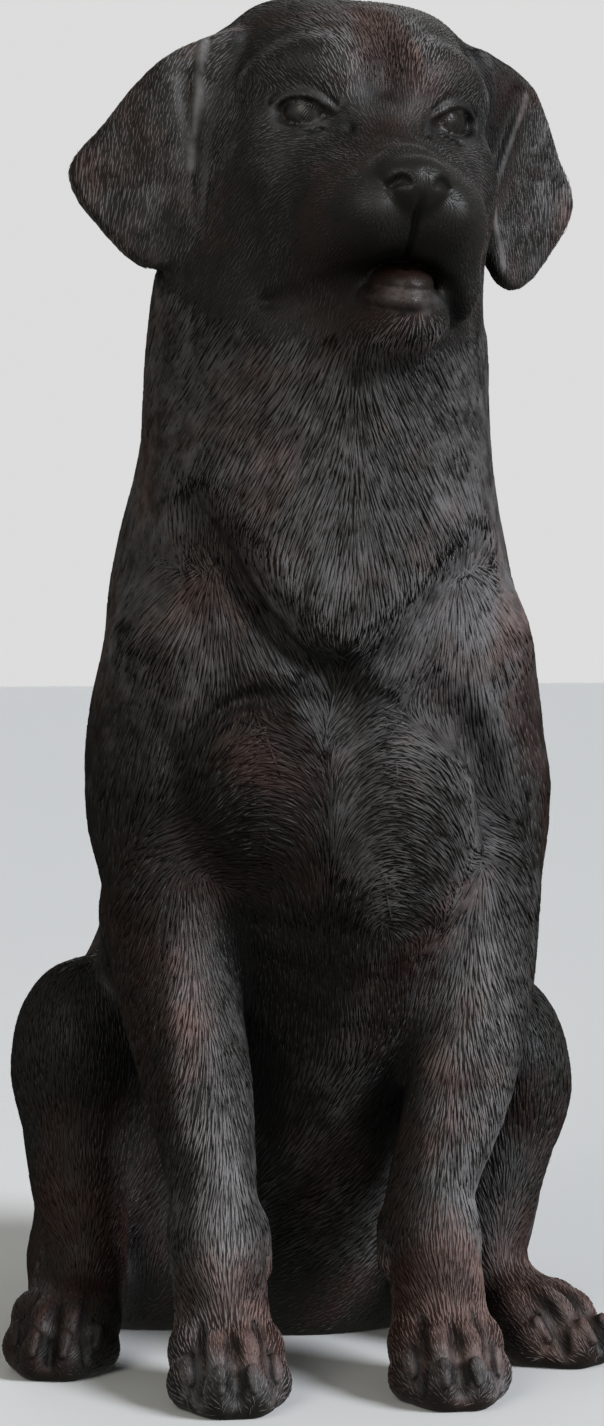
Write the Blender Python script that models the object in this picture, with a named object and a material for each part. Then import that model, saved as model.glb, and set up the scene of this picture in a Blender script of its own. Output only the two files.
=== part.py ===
"""A sitting Labrador, cast in one piece in bronzed resin.

The figure faces -Y and sits on z = 0, with the origin under the middle of its seat and its middle plane on
x = 0. The head is turned a little to the dog's own left. It is modelled as a sculptor builds a clay figure:
named masses of muscle and bone are pressed together, creases are cut into them, and one skin is drawn over
the whole. The masses are placed in sixtieths of the height, with y = 0 at the front edge of the seat.
"""

import math

import bmesh
import bpy
import numpy as np
import openvdb
from mathutils import Euler, Matrix, Vector

HEIGHT = 0.60  # top of the skull above the ground, in metres
PARTS_IN_HEIGHT = 60.0  # every length below is in sixtieths of the height
UNIT = HEIGHT / PARTS_IN_HEIGHT
SEAT_MIDDLE = 6.0  # y of the middle of the seat, where the origin is put

CELL = 0.24  # spacing of the distance samples
TRIANGLES = 9400  # what the skin is thinned to

HEAD_AT = (1.1, -5.0, 54.0)
HEAD_TURN = 7.5  # degrees, to the dog's own left
HEAD_TILT = 2.3  # degrees, left ear down
FRONT_PAWS = ((5.2, -13.3), (4.2, -13.3))  # right paw, left paw: out from the middle, and y


class Clay:
    """A block of distance samples. Masses are pressed onto it and grooves are carved from it."""

    def __init__(self, low, high, cell):
        self.low = np.array(low, float)
        self.cell = cell
        counts = np.ceil((np.array(high, float) - self.low) / cell).astype(int) + 1
        self.axes = [(self.low[i] + cell * np.arange(counts[i])).astype(np.float32) for i in range(3)]
        self.far = 4.0
        self.skin = np.full(counts, self.far, np.float32)
        self.place(Matrix.Identity(4))

    def place(self, matrix):
        """Later masses are given in this frame."""
        self.matrix = matrix.copy()
        self.inverse = np.array(matrix.inverted(), np.float32)

    def block(self, low, high, pad):
        """The slices that hold a local box grown by pad, and the local coordinates of their samples."""
        corners = [
            self.matrix @ Vector((x, y, z))
            for x in (low[0], high[0])
            for y in (low[1], high[1])
            for z in (low[2], high[2])
        ]
        pad = 2 * pad + 2 * self.cell
        least = np.min(corners, axis=0) - pad
        most = np.max(corners, axis=0) + pad
        slices = []
        for i in range(3):
            first = int(np.clip(math.floor((least[i] - self.low[i]) / self.cell), 0, len(self.axes[i])))
            last = int(np.clip(math.ceil((most[i] - self.low[i]) / self.cell) + 1, 0, len(self.axes[i])))
            slices.append(slice(first, last))
        x = self.axes[0][slices[0]][:, None, None]
        y = self.axes[1][slices[1]][None, :, None]
        z = self.axes[2][slices[2]][None, None, :]
        row = self.inverse
        local = [row[i, 0] * x + row[i, 1] * y + row[i, 2] * z + row[i, 3] for i in range(3)]
        return tuple(slices), local

    def press(self, slices, distance, blend):
        """Adds a mass, with a soft fillet of size blend."""
        old = self.skin[slices]
        share = np.maximum(blend - np.abs(old - distance), 0) / max(blend, 1e-6)
        self.skin[slices] = np.minimum(old, distance) - share * share * blend / 4

    def cut(self, slices, distance, blend):
        """Takes a mass away, with a soft edge of size blend."""
        old = self.skin[slices]
        taken = -distance
        share = np.maximum(blend - np.abs(old - taken), 0) / max(blend, 1e-6)
        self.skin[slices] = np.maximum(old, taken) + share * share * blend / 4

    def ball(self, centre, radii, turn=(0, 0, 0), blend=1.0, carve=False):
        """An ellipsoid, turned by Euler angles in degrees."""
        turned = Euler([math.radians(a) for a in turn]).to_matrix()
        reach = [math.sqrt(sum((turned[i][j] * radii[j]) ** 2 for j in range(3))) for i in range(3)]
        low = [c - r for c, r in zip(centre, reach)]
        high = [c + r for c, r in zip(centre, reach)]
        slices, (x, y, z) = self.block(low, high, blend)
        x, y, z = x - centre[0], y - centre[1], z - centre[2]
        near = far = 0
        for j in range(3):
            along = turned[0][j] * x + turned[1][j] * y + turned[2][j] * z
            near = near + (along / radii[j]) ** 2
            far = far + (along / radii[j] ** 2) ** 2
        near = np.sqrt(near)
        distance = near * (near - 1) / np.maximum(np.sqrt(far), 1e-4)
        (self.cut if carve else self.press)(slices, distance, blend)

    def limb(self, start, end, first, last, blend=1.0, carve=False):
        """A tapered rod with round ends, of radius first at start and last at end."""
        self.chain([start, end], [first, last], blend, carve)

    def chain(self, points, radii, blend=1.0, carve=False):
        """One rod through all the points, as a limb, a fold or a groove that bends softly."""
        course = smooth([(*point, radius) for point, radius in zip(points, radii)], 4)
        low = [min(stop[i] - stop[3] for stop in course) for i in range(3)]
        high = [max(stop[i] + stop[3] for stop in course) for i in range(3)]
        slices, local = self.block(low, high, blend)
        distance = np.float32(self.far * 10)
        for start, end in zip(course, course[1:]):
            run = [end[i] - start[i] for i in range(3)]
            length = max(math.sqrt(sum(r * r for r in run)), 1e-4)
            share = sum((p - a) * r for p, a, r in zip(local, start, run)) / (length * length)
            share = np.clip(share, 0, 1)
            gap = sum((p - a - r * share) ** 2 for p, a, r in zip(local, start, run))
            distance = np.minimum(distance, np.sqrt(gap) - (start[3] + (end[3] - start[3]) * share))
        (self.cut if carve else self.press)(slices, distance, blend)

    def front(self, x, z):
        """The y of the skin met first when coming from the front at x, z."""
        i = int(round((x - self.low[0]) / self.cell))
        k = int(round((z - self.low[2]) / self.cell))
        line = self.skin[i, :, k]
        j = int(np.argmax(line < 0))
        return float(self.axes[1][j] - self.cell * line[j] / (line[j] - line[j - 1]))

    def fold(self, course, radius, depth, blend):
        """A groove that follows the front of the figure through points given as x, z, fading at both ends."""
        course = smooth(course, 3)
        points = []
        for i, (x, z) in enumerate(course):
            sunk = depth * math.sin(math.pi * (i + 0.5) / len(course))
            points.append((x, self.front(x, z) - radius + sunk, z))
        self.chain(points, [radius] * len(points), blend, carve=True)

    def flap(self, outline, thickness, bend, blend=0.6, edge=0.35):
        """A thin leaf in the local xz plane, bent towards y by bend(x, z), with a rounded rim."""
        points = np.array(smooth(outline, 4, closed=True), float)
        low = (points[:, 0].min(), -4.0, points[:, 1].min())
        high = (points[:, 0].max(), 4.0, points[:, 1].max())
        slices, (x, y, z) = self.block(low, high, blend)
        x, y, z = np.broadcast_arrays(x, y, z)
        inside = np.zeros(x.shape, bool)
        nearest = np.full(x.shape, 1e6, np.float32)
        for (ax, az), (bx, bz) in zip(points, np.roll(points, -1, axis=0)):
            run_x, run_z = bx - ax, bz - az
            share = np.clip(((x - ax) * run_x + (z - az) * run_z) / (run_x**2 + run_z**2), 0, 1)
            gap = (x - ax - run_x * share) ** 2 + (z - az - run_z * share) ** 2
            nearest = np.minimum(nearest, gap)
            crosses = (az > z) != (bz > z)
            inside ^= crosses & (x < ax + run_x * (z - az) / (run_z if run_z else 1e-9))
        across = np.where(inside, -1, 1) * np.sqrt(nearest) + edge
        through = np.abs(y - bend(x, z)) - (thickness(x, z) / 2 - edge)
        outside = np.sqrt(np.maximum(across, 0) ** 2 + np.maximum(through, 0) ** 2)
        distance = outside + np.minimum(np.maximum(across, through), 0) - edge
        self.press(slices, distance, blend)


def smooth(points, steps, closed=False):
    """More points along a soft curve through the given ones."""
    count = len(points)
    stops = [np.array(point, float) for point in points]
    if count < 3:
        return stops
    spans = count if closed else count - 1
    course = []
    for i in range(spans):
        around = [(j % count) if closed else min(max(j, 0), count - 1) for j in (i - 1, i, i + 1, i + 2)]
        before, start, end, after = (stops[j] for j in around)
        for step in range(steps):
            t = step / steps
            bend = start * 2 + (end - before) * t
            bend = bend + (before * 2 - start * 5 + end * 4 - after) * t**2
            bend = bend + (start * 3 - before - end * 3 + after) * t**3
            course.append(bend / 2)
    if not closed:
        course.append(stops[-1])
    return course


def placed(at=(0, 0, 0), turn=(0, 0, 0), side=1):
    """A frame at a point, turned by Euler angles in degrees, and mirrored in x when side is -1."""
    mirror = Matrix.Diagonal((side, 1, 1, 1))
    turned = Euler([math.radians(a) for a in turn]).to_matrix().to_4x4()
    return mirror @ Matrix.Translation(at) @ turned


def torso(clay):
    """Ribs, loin, belly and rump, leaning back from the breast to the seat."""
    clay.place(placed())
    clay.ball((0, -2.4, 28.4), (7.9, 8.2, 13.0), turn=(10, 0, 0), blend=4)
    clay.ball((0, -0.6, 34.0), (6.4, 5.4, 6.0), blend=4)
    clay.ball((0, 3.6, 18.5), (7.8, 7.4, 12.0), turn=(22, 0, 0), blend=4)
    clay.ball((0, 7.8, 8.6), (9.0, 7.2, 8.8), blend=4)
    clay.ball((0, 5.2, 3.8), (9.4, 6.6, 6.4), blend=3)
    clay.ball((0, 0.4, 12.0), (6.6, 4.6, 8.6), turn=(12, 0, 0), blend=3)
    clay.ball((0, 7.6, 1.6), (9.4, 6.4, 4.4), blend=3)


def breast(clay):
    """The keel of the chest, the two full lobes on either side of it and the wall below, down to the seat."""
    clay.place(placed())
    clay.limb((1.0, -4.2, 15.0), (0.4, -0.6, 4.6), 3.4, 3.8, blend=3)
    clay.ball((0, 2.2, 2.6), (6.6, 4.4, 5.0), blend=3)
    clay.chain([(0, -7.6, 29), (0.9, -7.9, 22), (1.2, -5.0, 16.4)], [4.6, 4.2, 3.2], blend=2.5)
    clay.ball((-3.2, -7.2, 25.8), (3.6, 4.9, 4.6), turn=(-4, -8, -10), blend=1.8)
    clay.ball((3.3, -7.8, 24.6), (3.6, 5.0, 6.2), turn=(-4, 8, 10), blend=1.8)
    clay.chain([(-2.7, -6.2, 22.4), (-1.6, -4.6, 16.4)], [3.0, 2.2], blend=2)
    clay.chain([(2.8, -7.9, 22.0), (2.1, -6.9, 16.4), (1.4, -4.8, 12.0)], [3.1, 2.5, 2.2], blend=1.8)


def neck(clay):
    """A thick neck that ends in a pointed bib of skin over the breast."""
    clay.place(placed())
    clay.ball((0.1, -3.4, 40.0), (7.7, 7.0, 9.6), turn=(4, 0, 0), blend=2.5)
    clay.ball((0, -4.2, 46.5), (7.1, 6.4, 8.0), blend=2.5)
    clay.ball((0.8, -7.0, 44.5), (4.8, 5.0, 6.5), blend=3)
    clay.ball((0.1, -7.2, 37.0), (6.8, 4.7, 7.6), turn=(-10, 0, 0), blend=2.5)
    clay.chain([(-3.4, -8.2, 36.4), (0, -10.2, 32.8), (3.6, -8.4, 36.0)], [2.8, 2.4, 2.8], blend=2)


def foreleg(clay, side, paw_at):
    """Shoulder blade, upper arm, forearm and pastern, down to the paw."""
    clay.place(placed(side=side))
    clay.ball((5.8 + side * 0.2, -1.6, 33.6), (3.1, 5.6, 7.0), turn=(-14, -10, 0), blend=2)
    clay.limb((5.8, -6.8, 30.8), (6.7, -5.4, 24.0), 3.3, 3.0, blend=2.4)
    clay.ball((7.3 - side * 0.1, -3.6, 26.6), (2.7, 5.2, 5.6), turn=(-8, -3, 0), blend=1.4)
    clay.ball((7.4 - side * 0.2, -2.6, 19.4), (1.9, 3.0, 3.2), turn=(-20, 0, 0), blend=1.2)
    x, y = paw_at
    course = [(6.9, -6.4, 25.0), (6.7, -7.2, 18.0), (5.8, -8.8, 12.6), (x + 0.1, y + 3.3, 8.2), (x, y + 2.9, 6.2)]
    clay.chain(course, [2.8, 2.7, 2.3, 1.85, 1.95], blend=1.4)
    clay.limb((x, y + 2.8, 6.2), (x, y + 0.6, 3.0), 1.9, 2.0, blend=0.8)
    clay.limb((x - 1.5, y + 3.1, 6.6), (x - 1.85, y + 2.5, 4.9), 0.75, 0.5, blend=0.5)
    clay.limb((x + 0.3, y + 4.9, 7.4), (x + 0.2, y + 4.9, 6.2), 0.75, 0.85, blend=0.5)


def paw(clay, matrix, scale):
    """A paw that points along -y of its frame: four arched toes with blunt claws."""
    clay.place(matrix @ Matrix.Scale(scale, 4))
    clay.ball((0, -0.4, 1.6), (2.3, 3.1, 2.0), blend=0.8)
    clay.ball((0, -2.3, 0.6), (2.1, 2.3, 1.1), blend=0.5)
    for lateral, reach in ((-1.7, -1.9), (-0.66, -3.6), (0.66, -3.6), (1.7, -1.9)):
        clay.ball((lateral * 0.95, reach + 1.2, 2.1), (0.85, 1.3, 1.05), turn=(14, 0, 0), blend=0.4)
        clay.ball((lateral * 1.03, reach + 0.1, 1.0), (0.88, 1.25, 1.15), blend=0.4)
        clay.limb((lateral * 1.06, reach - 0.85, 1.5), (lateral * 1.07, reach - 1.25, 0.85), 0.36, 0.26, 0.1)


def hind_leg(clay, side, knee, ankle, foot, spread, width):
    """Thigh, knee, shin and the foot that reaches forward along the ground."""
    clay.place(placed(side=side))
    clay.ball((5.4, 5.6, 14.6), (3.2, 6.4, 4.4), turn=(-20, 0, 0), blend=4)
    clay.limb((6.2, 9.0, 8.8), (knee[0] - 1.6, knee[1] + 2.4, knee[2] - 1.6), 5.6, 3.4, blend=3)
    clay.ball((8.1, 4.8, 7.6), (width, 7.4, 7.4), turn=(-12, 0, 8), blend=2)
    clay.ball((6.8, 3.6, 2.6), (width, 5.2, 3.6), blend=2)
    clay.ball((knee[0] - 0.4, knee[1] + 1.4, knee[2] - 1.6), (2.5, 3.2, 3.9), turn=(-12, 0, 0), blend=1.2)
    clay.limb((knee[0] - 0.4, knee[1] + 1.4, knee[2] - 3.0), ankle, 2.5, 1.8, blend=1)
    clay.limb((ankle[0] - 0.3, 4.6, 2.2), (ankle[0] + 0.6, foot[1] + 1.2, 2.1), 2.3, 2.0, blend=1.4)
    paw(clay, placed((foot[0], foot[1], 0), (0, 0, spread), side), 0.98)


def tail(clay):
    """The tail lies on the ground and curls round against the right haunch."""
    clay.place(placed())
    course = [(0, 12.0, 7.4), (-1.0, 14.4, 4.0), (-4.4, 15.0, 2.0), (-8.2, 12.9, 1.5), (-10.6, 9.6, 1.2)]
    clay.chain(course, [3.0, 2.3, 1.9, 1.6, 0.9], blend=1)


def skull(clay):
    """The broad dome of the head, brows, cheeks and jaw."""
    clay.ball((0, 0.7, 0), (5.4, 6.3, 5.95), blend=2)
    clay.ball((0, -3.2, 1.0), (4.3, 3.3, 3.4), blend=2)
    for side in (-1, 1):
        clay.ball((side * 2.6, 0.6, 1.5), (3.0, 5.0, 4.1), blend=1.6)
        clay.ball((side * 3.65, -3.2, -2.1), (1.9, 2.9, 2.2), turn=(0, 0, side * 12), blend=1.8)
        clay.ball((side * 3.5, -1.4, -3.8), (2.3, 4.2, 3.6), blend=2)
        brow = [(side * 1.5, -5.2, 1.5), (side * 2.3, -5.3, 2.2), (side * 3.6, -4.8, 2.3), (side * 4.8, -3.5, 1.5)]
        clay.chain(brow, [0.4, 0.75, 0.75, 0.5], blend=1.9)
    clay.chain([(0.2, -4.4, 5.0), (0.1, -6.2, 3.0), (0, -6.6, 1.6)], [0.1, 0.2, 0.1], blend=1.8, carve=True)


def muzzle(clay):
    """The square muzzle with its hanging upper lips, longer on the dog's left, and the open mouth under it."""
    middle = 0.7  # the jaw hangs a little to the dog's left
    clay.limb((0, -4.0, -2.4), (0, -9.4, -3.2), 3.2, 2.0, blend=1.8)
    clay.limb((0, -1.5, -6.2), (middle, -8.3, -8.0), 3.3, 1.3, blend=1.6)
    for side, drop in ((-1, 0.0), (1, 0.9)):
        lip_at = (side * 2.2, -5.6, -4.5 - drop / 2)
        clay.ball(lip_at, (1.7, 4.4, 2.5 + drop / 2), turn=(-6, side * 4, side * 10), blend=2.2)
        clay.ball((side * 1.45, -9.4, -4.2), (1.65, 2.5, 1.65), turn=(0, 0, side * 8), blend=1.3)
    clay.ball((3.1, -5.8, -7.0), (0.95, 2.8, 1.7), turn=(0, 0, 8), blend=0.9)
    clay.ball((middle, -10.4, -6.95), (2.0, 4.0, 1.15), turn=(9, 0, 0), blend=0.4, carve=True)
    clay.ball((middle, -7.0, -8.5), (1.75, 2.6, 1.3), blend=1.2)
    clay.ball((middle - 0.3, -8.3, -6.85), (1.0, 2.2, 0.6), turn=(12, 0, 0), blend=0.2)
    lower_lip = [(-0.5, -7.9, -7.05), (-0.15, -9.1, -7.3), (0.5, -9.65, -7.4), (1.15, -9.1, -7.3), (1.5, -7.9, -7.05)]
    clay.chain(lower_lip, [0.26, 0.3, 0.32, 0.3, 0.26], blend=0.35)


def nose(clay):
    """The nose pad, with its nostrils and the groove that runs down from it."""
    clay.ball((-0.05, -10.9, -2.9), (1.7, 1.6, 1.15), blend=0.2)
    clay.ball((0, -11.2, -3.4), (1.2, 1.2, 0.9), blend=0.4)
    clay.chain([(0.05, -12.5, -2.2), (0.05, -12.6, -3.0), (0.05, -12.5, -3.9)], [0.06, 0.14, 0.14], 0.2, carve=True)
    clay.chain([(0, -12.1, -4.3), (0, -11.95, -5.0), (0.1, -11.6, -5.8)], [0.16, 0.16, 0.16], 0.2, carve=True)
    for side in (-1, 1):
        nostril = [(side * 0.66, -12.4, -3.15), (side * 1.0, -12.25, -3.0), (side * 1.4, -11.7, -3.3)]
        clay.chain(nostril, [0.22, 0.34, 0.16], blend=0.15, carve=True)


def eye(clay, head_frame, side):
    """An almond opening in a full lid, the fold over it, and the eyeball in the opening."""
    mirror = Matrix.Diagonal((side, 1, 1, 1))
    clay.place(head_frame @ mirror @ placed((3.0, -4.9, 0.2), (-2, 4, 30)))
    clay.ball((0, 0.2, 0.1), (1.85, 1.42, 1.3), blend=0.5)
    over = [(-1.55, -0.8, 0.3), (-0.8, -1.2, 1.1), (0.2, -1.2, 1.3), (1.2, -0.85, 0.9), (1.8, -0.25, 0.15)]
    clay.chain(over, [0.06, 0.14, 0.14, 0.12, 0.06], blend=0.25, carve=True)
    clay.ball((0.1, -1.35, 0.05), (1.3, 1.15, 0.72), turn=(0, -8, 0), blend=0.12, carve=True)
    clay.chain([(-1.05, -1.0, -0.15), (-1.5, -1.0, -0.35)], [0.3, 0.16], blend=0.2, carve=True)
    clay.ball((0, 0.3, 0.05), (1.28, 1.28, 1.28), blend=0.05)


EAR_OUTLINE = [
    (-0.9, 3.9), (0.9, 3.5), (2.4, 2.7), (3.8, 1.4), (5.0, -0.1), (6.4, -1.7), (6.3, -2.9), (5.2, -4.3),
    (3.9, -5.6), (2.6, -6.3), (1.4, -6.0), (0.5, -4.9), (0.2, -3.2), (0.3, -1.2), (0.0, 1.6),
]
EAR_ROLLS = {
    -1: [(1.9, 1.7), (1.75, 0.8), (1.35, -0.8), (0.95, -2.6), (0.9, -4.2), (1.1, -5.4)],
    1: [(1.95, 2.1), (1.6, 1.0), (0.95, -0.8), (0.5, -2.2), (0.55, -3.6), (1.35, -5.4)],
}
EAR_FOLD = 1.9  # where the outer part of the ear turns back


def ear_thickness(x, z):
    return 1.1 + 0.03 * z


def ear_bend(x, z):
    return 0.36 * np.maximum(x - EAR_FOLD - 0.25 * z, 0) - 0.012 * (z + 1) ** 2


def ear(clay, head_frame, side):
    """A hanging ear: a leaf that leaves the skull high up, with a roll of skin down its front."""
    mirror = Matrix.Diagonal((side, 1, 1, 1))
    clay.place(head_frame @ mirror)
    clay.limb((3.6, 0.2, 3.0), (6.4, -0.4, 2.3), 1.9, 1.0, blend=1.4)
    clay.ball((5.3, -0.2, 0.4), (1.5, 1.5, 3.4), blend=1)
    clay.place(head_frame @ mirror @ placed((6.0, -1.0, 0), (0, 0, 18)))
    clay.flap(EAR_OUTLINE, ear_thickness, ear_bend)
    roll = [(x, ear_bend(x, z) - ear_thickness(x, z) / 2, z) for x, z in EAR_ROLLS[side]]
    hollow = [(x - 0.55, y - 0.26, z + 0.1) for x, y, z in roll[:5]]
    clay.chain(hollow, [0.3, 0.4, 0.4, 0.34, 0.26], blend=0.35, carve=True)
    clay.chain([(x, y + 0.1, z) for x, y, z in roll], [0.16, 0.28, 0.28, 0.28, 0.26, 0.16], blend=0.2)


def head(clay):
    """Skull, muzzle, eyes and ears, turned together on the neck."""
    frame = placed(HEAD_AT, (0, HEAD_TILT, HEAD_TURN))
    clay.place(frame)
    skull(clay)
    muzzle(clay)
    nose(clay)
    for side in (-1, 1):
        eye(clay, frame, side)
        ear(clay, frame, side)


def creases(clay):
    """The folds cut between neck, shoulders and breast, deeper on the right than on the left."""
    clay.place(placed())
    clay.fold([(-6.6, 37.2), (-5.2, 35.0), (-3.9, 32.9), (-2.4, 31.3)], 1.2, 0.4, 1.4)
    neck_line = [(-6.0, 38.6), (-4.7, 35.5), (-3.7, 33.7), (-2.2, 31.7), (-1.1, 30.5), (-0.3, 30.0)]
    clay.fold(neck_line, 0.5, 0.62, 0.45)
    clay.fold([(7.0, 36.0), (5.0, 33.7), (2.8, 31.7), (0.3, 30.2)], 0.9, 0.24, 1.6)
    lobe_line = [(-6.6, 27.2), (-6.0, 28.4), (-5.2, 29.4), (-4.2, 30.0), (-2.6, 30.1), (-0.6, 29.9)]
    clay.fold(lobe_line, 0.45, 0.3, 0.8)
    clay.fold([(0.4, 29.9), (1.8, 29.9), (3.5, 29.2), (4.9, 28.1)], 0.5, 0.28, 1.0)
    clay.fold([(4.3, 28.6), (5.6, 27.5), (6.8, 26.0), (7.0, 24.8)], 0.9, 0.55, 1.3)
    clay.fold([(-0.3, 30.2), (0, 28.4), (0.3, 26.2), (0.6, 23.4)], 0.7, 0.16, 1.6)


def figure(cell):
    """The whole dog in clay."""
    clay = Clay((-16, -20, -1.5), (16, 21, 62), cell)
    torso(clay)
    breast(clay)
    neck(clay)
    foreleg(clay, -1, FRONT_PAWS[0])
    foreleg(clay, 1, FRONT_PAWS[1])
    for side, (x, y) in zip((-1, 1), FRONT_PAWS):
        paw(clay, placed((x, y, 0), side=side), 1.0)
    creases(clay)
    hind_leg(clay, -1, (11.0, -2.2, 14.6), ankle=(10.3, -3.8, 4.2), foot=(11.2, -5.8), spread=16, width=4.0)
    hind_leg(clay, 1, (9.7, -3.6, 13.8), ankle=(7.4, -5.0, 4.2), foot=(8.9, -7.0), spread=38, width=3.4)
    tail(clay)
    head(clay)
    return clay


def skin_of(clay):
    """The skin of the clay as vertices in metres and faces that point outwards."""
    grid = openvdb.FloatGrid(clay.far)
    grid.copyFromArray(clay.skin)
    points, quads = grid.convertToQuads(isovalue=0)
    points = (clay.low + points * clay.cell - (0, SEAT_MIDDLE, 0)) * UNIT
    return points, quads


def resin():
    """Dark cast resin, rubbed to a low sheen."""
    material = bpy.data.materials.new("bronzed_resin")
    material.use_nodes = True
    shader = material.node_tree.nodes["Principled BSDF"]
    shader.inputs["Base Color"].default_value = (0.028, 0.022, 0.020, 1)
    shader.inputs["Roughness"].default_value = 0.45
    shader.inputs["Metallic"].default_value = 0.0
    return material


def add_object(name, mesh):
    obj = bpy.data.objects.new(name, mesh)
    bpy.context.scene.collection.objects.link(obj)
    return obj


def ground_cutter():
    """A hidden block under the ground plane that trims the feet and the seat flat."""
    cutter = add_object("ground_cutter", bpy.data.meshes.new("ground_cutter"))
    shape = bmesh.new()
    bmesh.ops.create_cube(shape, size=1.0)
    depth = 0.1 * HEIGHT
    for corner in shape.verts:
        corner.co.x *= HEIGHT
        corner.co.y *= HEIGHT
        corner.co.z = (corner.co.z - 0.5) * depth
    shape.to_mesh(cutter.data)
    shape.free()
    cutter.hide_render = True
    cutter.display_type = "WIRE"
    return cutter


def main():
    for obj in list(bpy.data.objects):
        bpy.data.objects.remove(obj)
    points, quads = skin_of(figure(CELL))
    mesh = bpy.data.meshes.new("dog_figure")
    mesh.from_pydata(points.tolist(), [], quads.tolist())
    mesh.materials.append(resin())
    dog = add_object("dog_figure", mesh)
    thin = dog.modifiers.new("thin", "DECIMATE")
    thin.ratio = TRIANGLES / (2 * len(quads))
    trim = dog.modifiers.new("trim", "BOOLEAN")
    trim.operation = "DIFFERENCE"
    trim.solver = "EXACT"
    trim.object = ground_cutter()


if __name__ == "__main__":
    main()
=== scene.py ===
# %% [markdown]
# # A sitting Labrador, cast in bronzed resin
# The real object is a dog figure 60 cm tall. A sculptor built it up in clay, mass by mass, and combed
# the coat into it lock by lock. It was cast in resin and painted near black, with grey brushed over the
# raised hair. This lesson follows the same order: clay, coat, paint, and then a small studio.

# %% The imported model
import itertools
import math

import bmesh
import bpy
import numpy as np
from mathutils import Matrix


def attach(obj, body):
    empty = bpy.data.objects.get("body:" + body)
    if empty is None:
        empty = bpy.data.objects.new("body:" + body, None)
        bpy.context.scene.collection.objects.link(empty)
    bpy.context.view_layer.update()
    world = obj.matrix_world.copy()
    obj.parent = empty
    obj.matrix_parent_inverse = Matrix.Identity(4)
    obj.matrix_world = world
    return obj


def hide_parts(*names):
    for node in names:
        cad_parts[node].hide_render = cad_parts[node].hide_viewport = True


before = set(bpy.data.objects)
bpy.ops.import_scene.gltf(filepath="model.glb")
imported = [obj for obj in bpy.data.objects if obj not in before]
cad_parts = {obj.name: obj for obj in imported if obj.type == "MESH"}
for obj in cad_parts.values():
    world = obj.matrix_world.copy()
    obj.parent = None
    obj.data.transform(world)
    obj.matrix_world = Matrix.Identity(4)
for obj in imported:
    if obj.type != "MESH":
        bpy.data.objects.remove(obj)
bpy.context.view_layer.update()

import openvdb
from mathutils import Euler, Matrix, Vector

# %% [markdown]
# ## The camera
# The picture was taken from the height of the dog's breast, a little to its right, with a long lens. The
# lens is worked out from a focal length in pixels of the picture, so the frame fits at any size.

# %% The camera
PICTURE_HEIGHT = 1426  # pixels
FOCAL_PIXELS = 3721
SENSOR = 24.0  # millimetres
EYE_DISTANCE = 1.70
EYE_HEIGHT = 0.3775
EYE_TURN = math.radians(8)
AIM_HEIGHT = 0.2825
SEAT_TO_ORIGIN = 0.06  # the masses below are placed from the front of the seat


scene = bpy.context.scene


def new_object(name, data):
    obj = bpy.data.objects.new(name, data)
    scene.collection.objects.link(obj)
    return obj


def aimed(obj, at, target):
    """Puts a camera or a lamp at a point and turns it to its target."""
    obj.location = at
    obj.rotation_euler = (target - at).to_track_quat("-Z", "Y").to_euler()


eye_point = Vector((
    -EYE_DISTANCE * math.sin(EYE_TURN),
    -EYE_DISTANCE * math.cos(EYE_TURN) - SEAT_TO_ORIGIN,
    EYE_HEIGHT,
))
aim_point = Vector((0, -SEAT_TO_ORIGIN, AIM_HEIGHT))
camera = new_object("camera", bpy.data.cameras.new("camera"))
aimed(camera, eye_point, aim_point)
camera.data.sensor_fit = "VERTICAL"
camera.data.sensor_height = SENSOR
camera.data.lens = SENSOR * FOCAL_PIXELS / PICTURE_HEIGHT
scene.camera = camera
print("lens of", round(camera.data.lens, 1), "mm on a", SENSOR, "mm sensor")

# %% [markdown]
# ## The clay
# The dog starts as a block of distance samples: each says how far it is from the skin. Two masses are
# joined by taking the smaller distance, and a rounded minimum leaves the soft valley of a thumb in clay.
# The same call with the sign turned round carves a groove.

# %% The clay
CELL = 0.13  # spacing of the samples, in sixtieths of the height
UNIT = 0.01  # one sixtieth of the height, in metres


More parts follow.
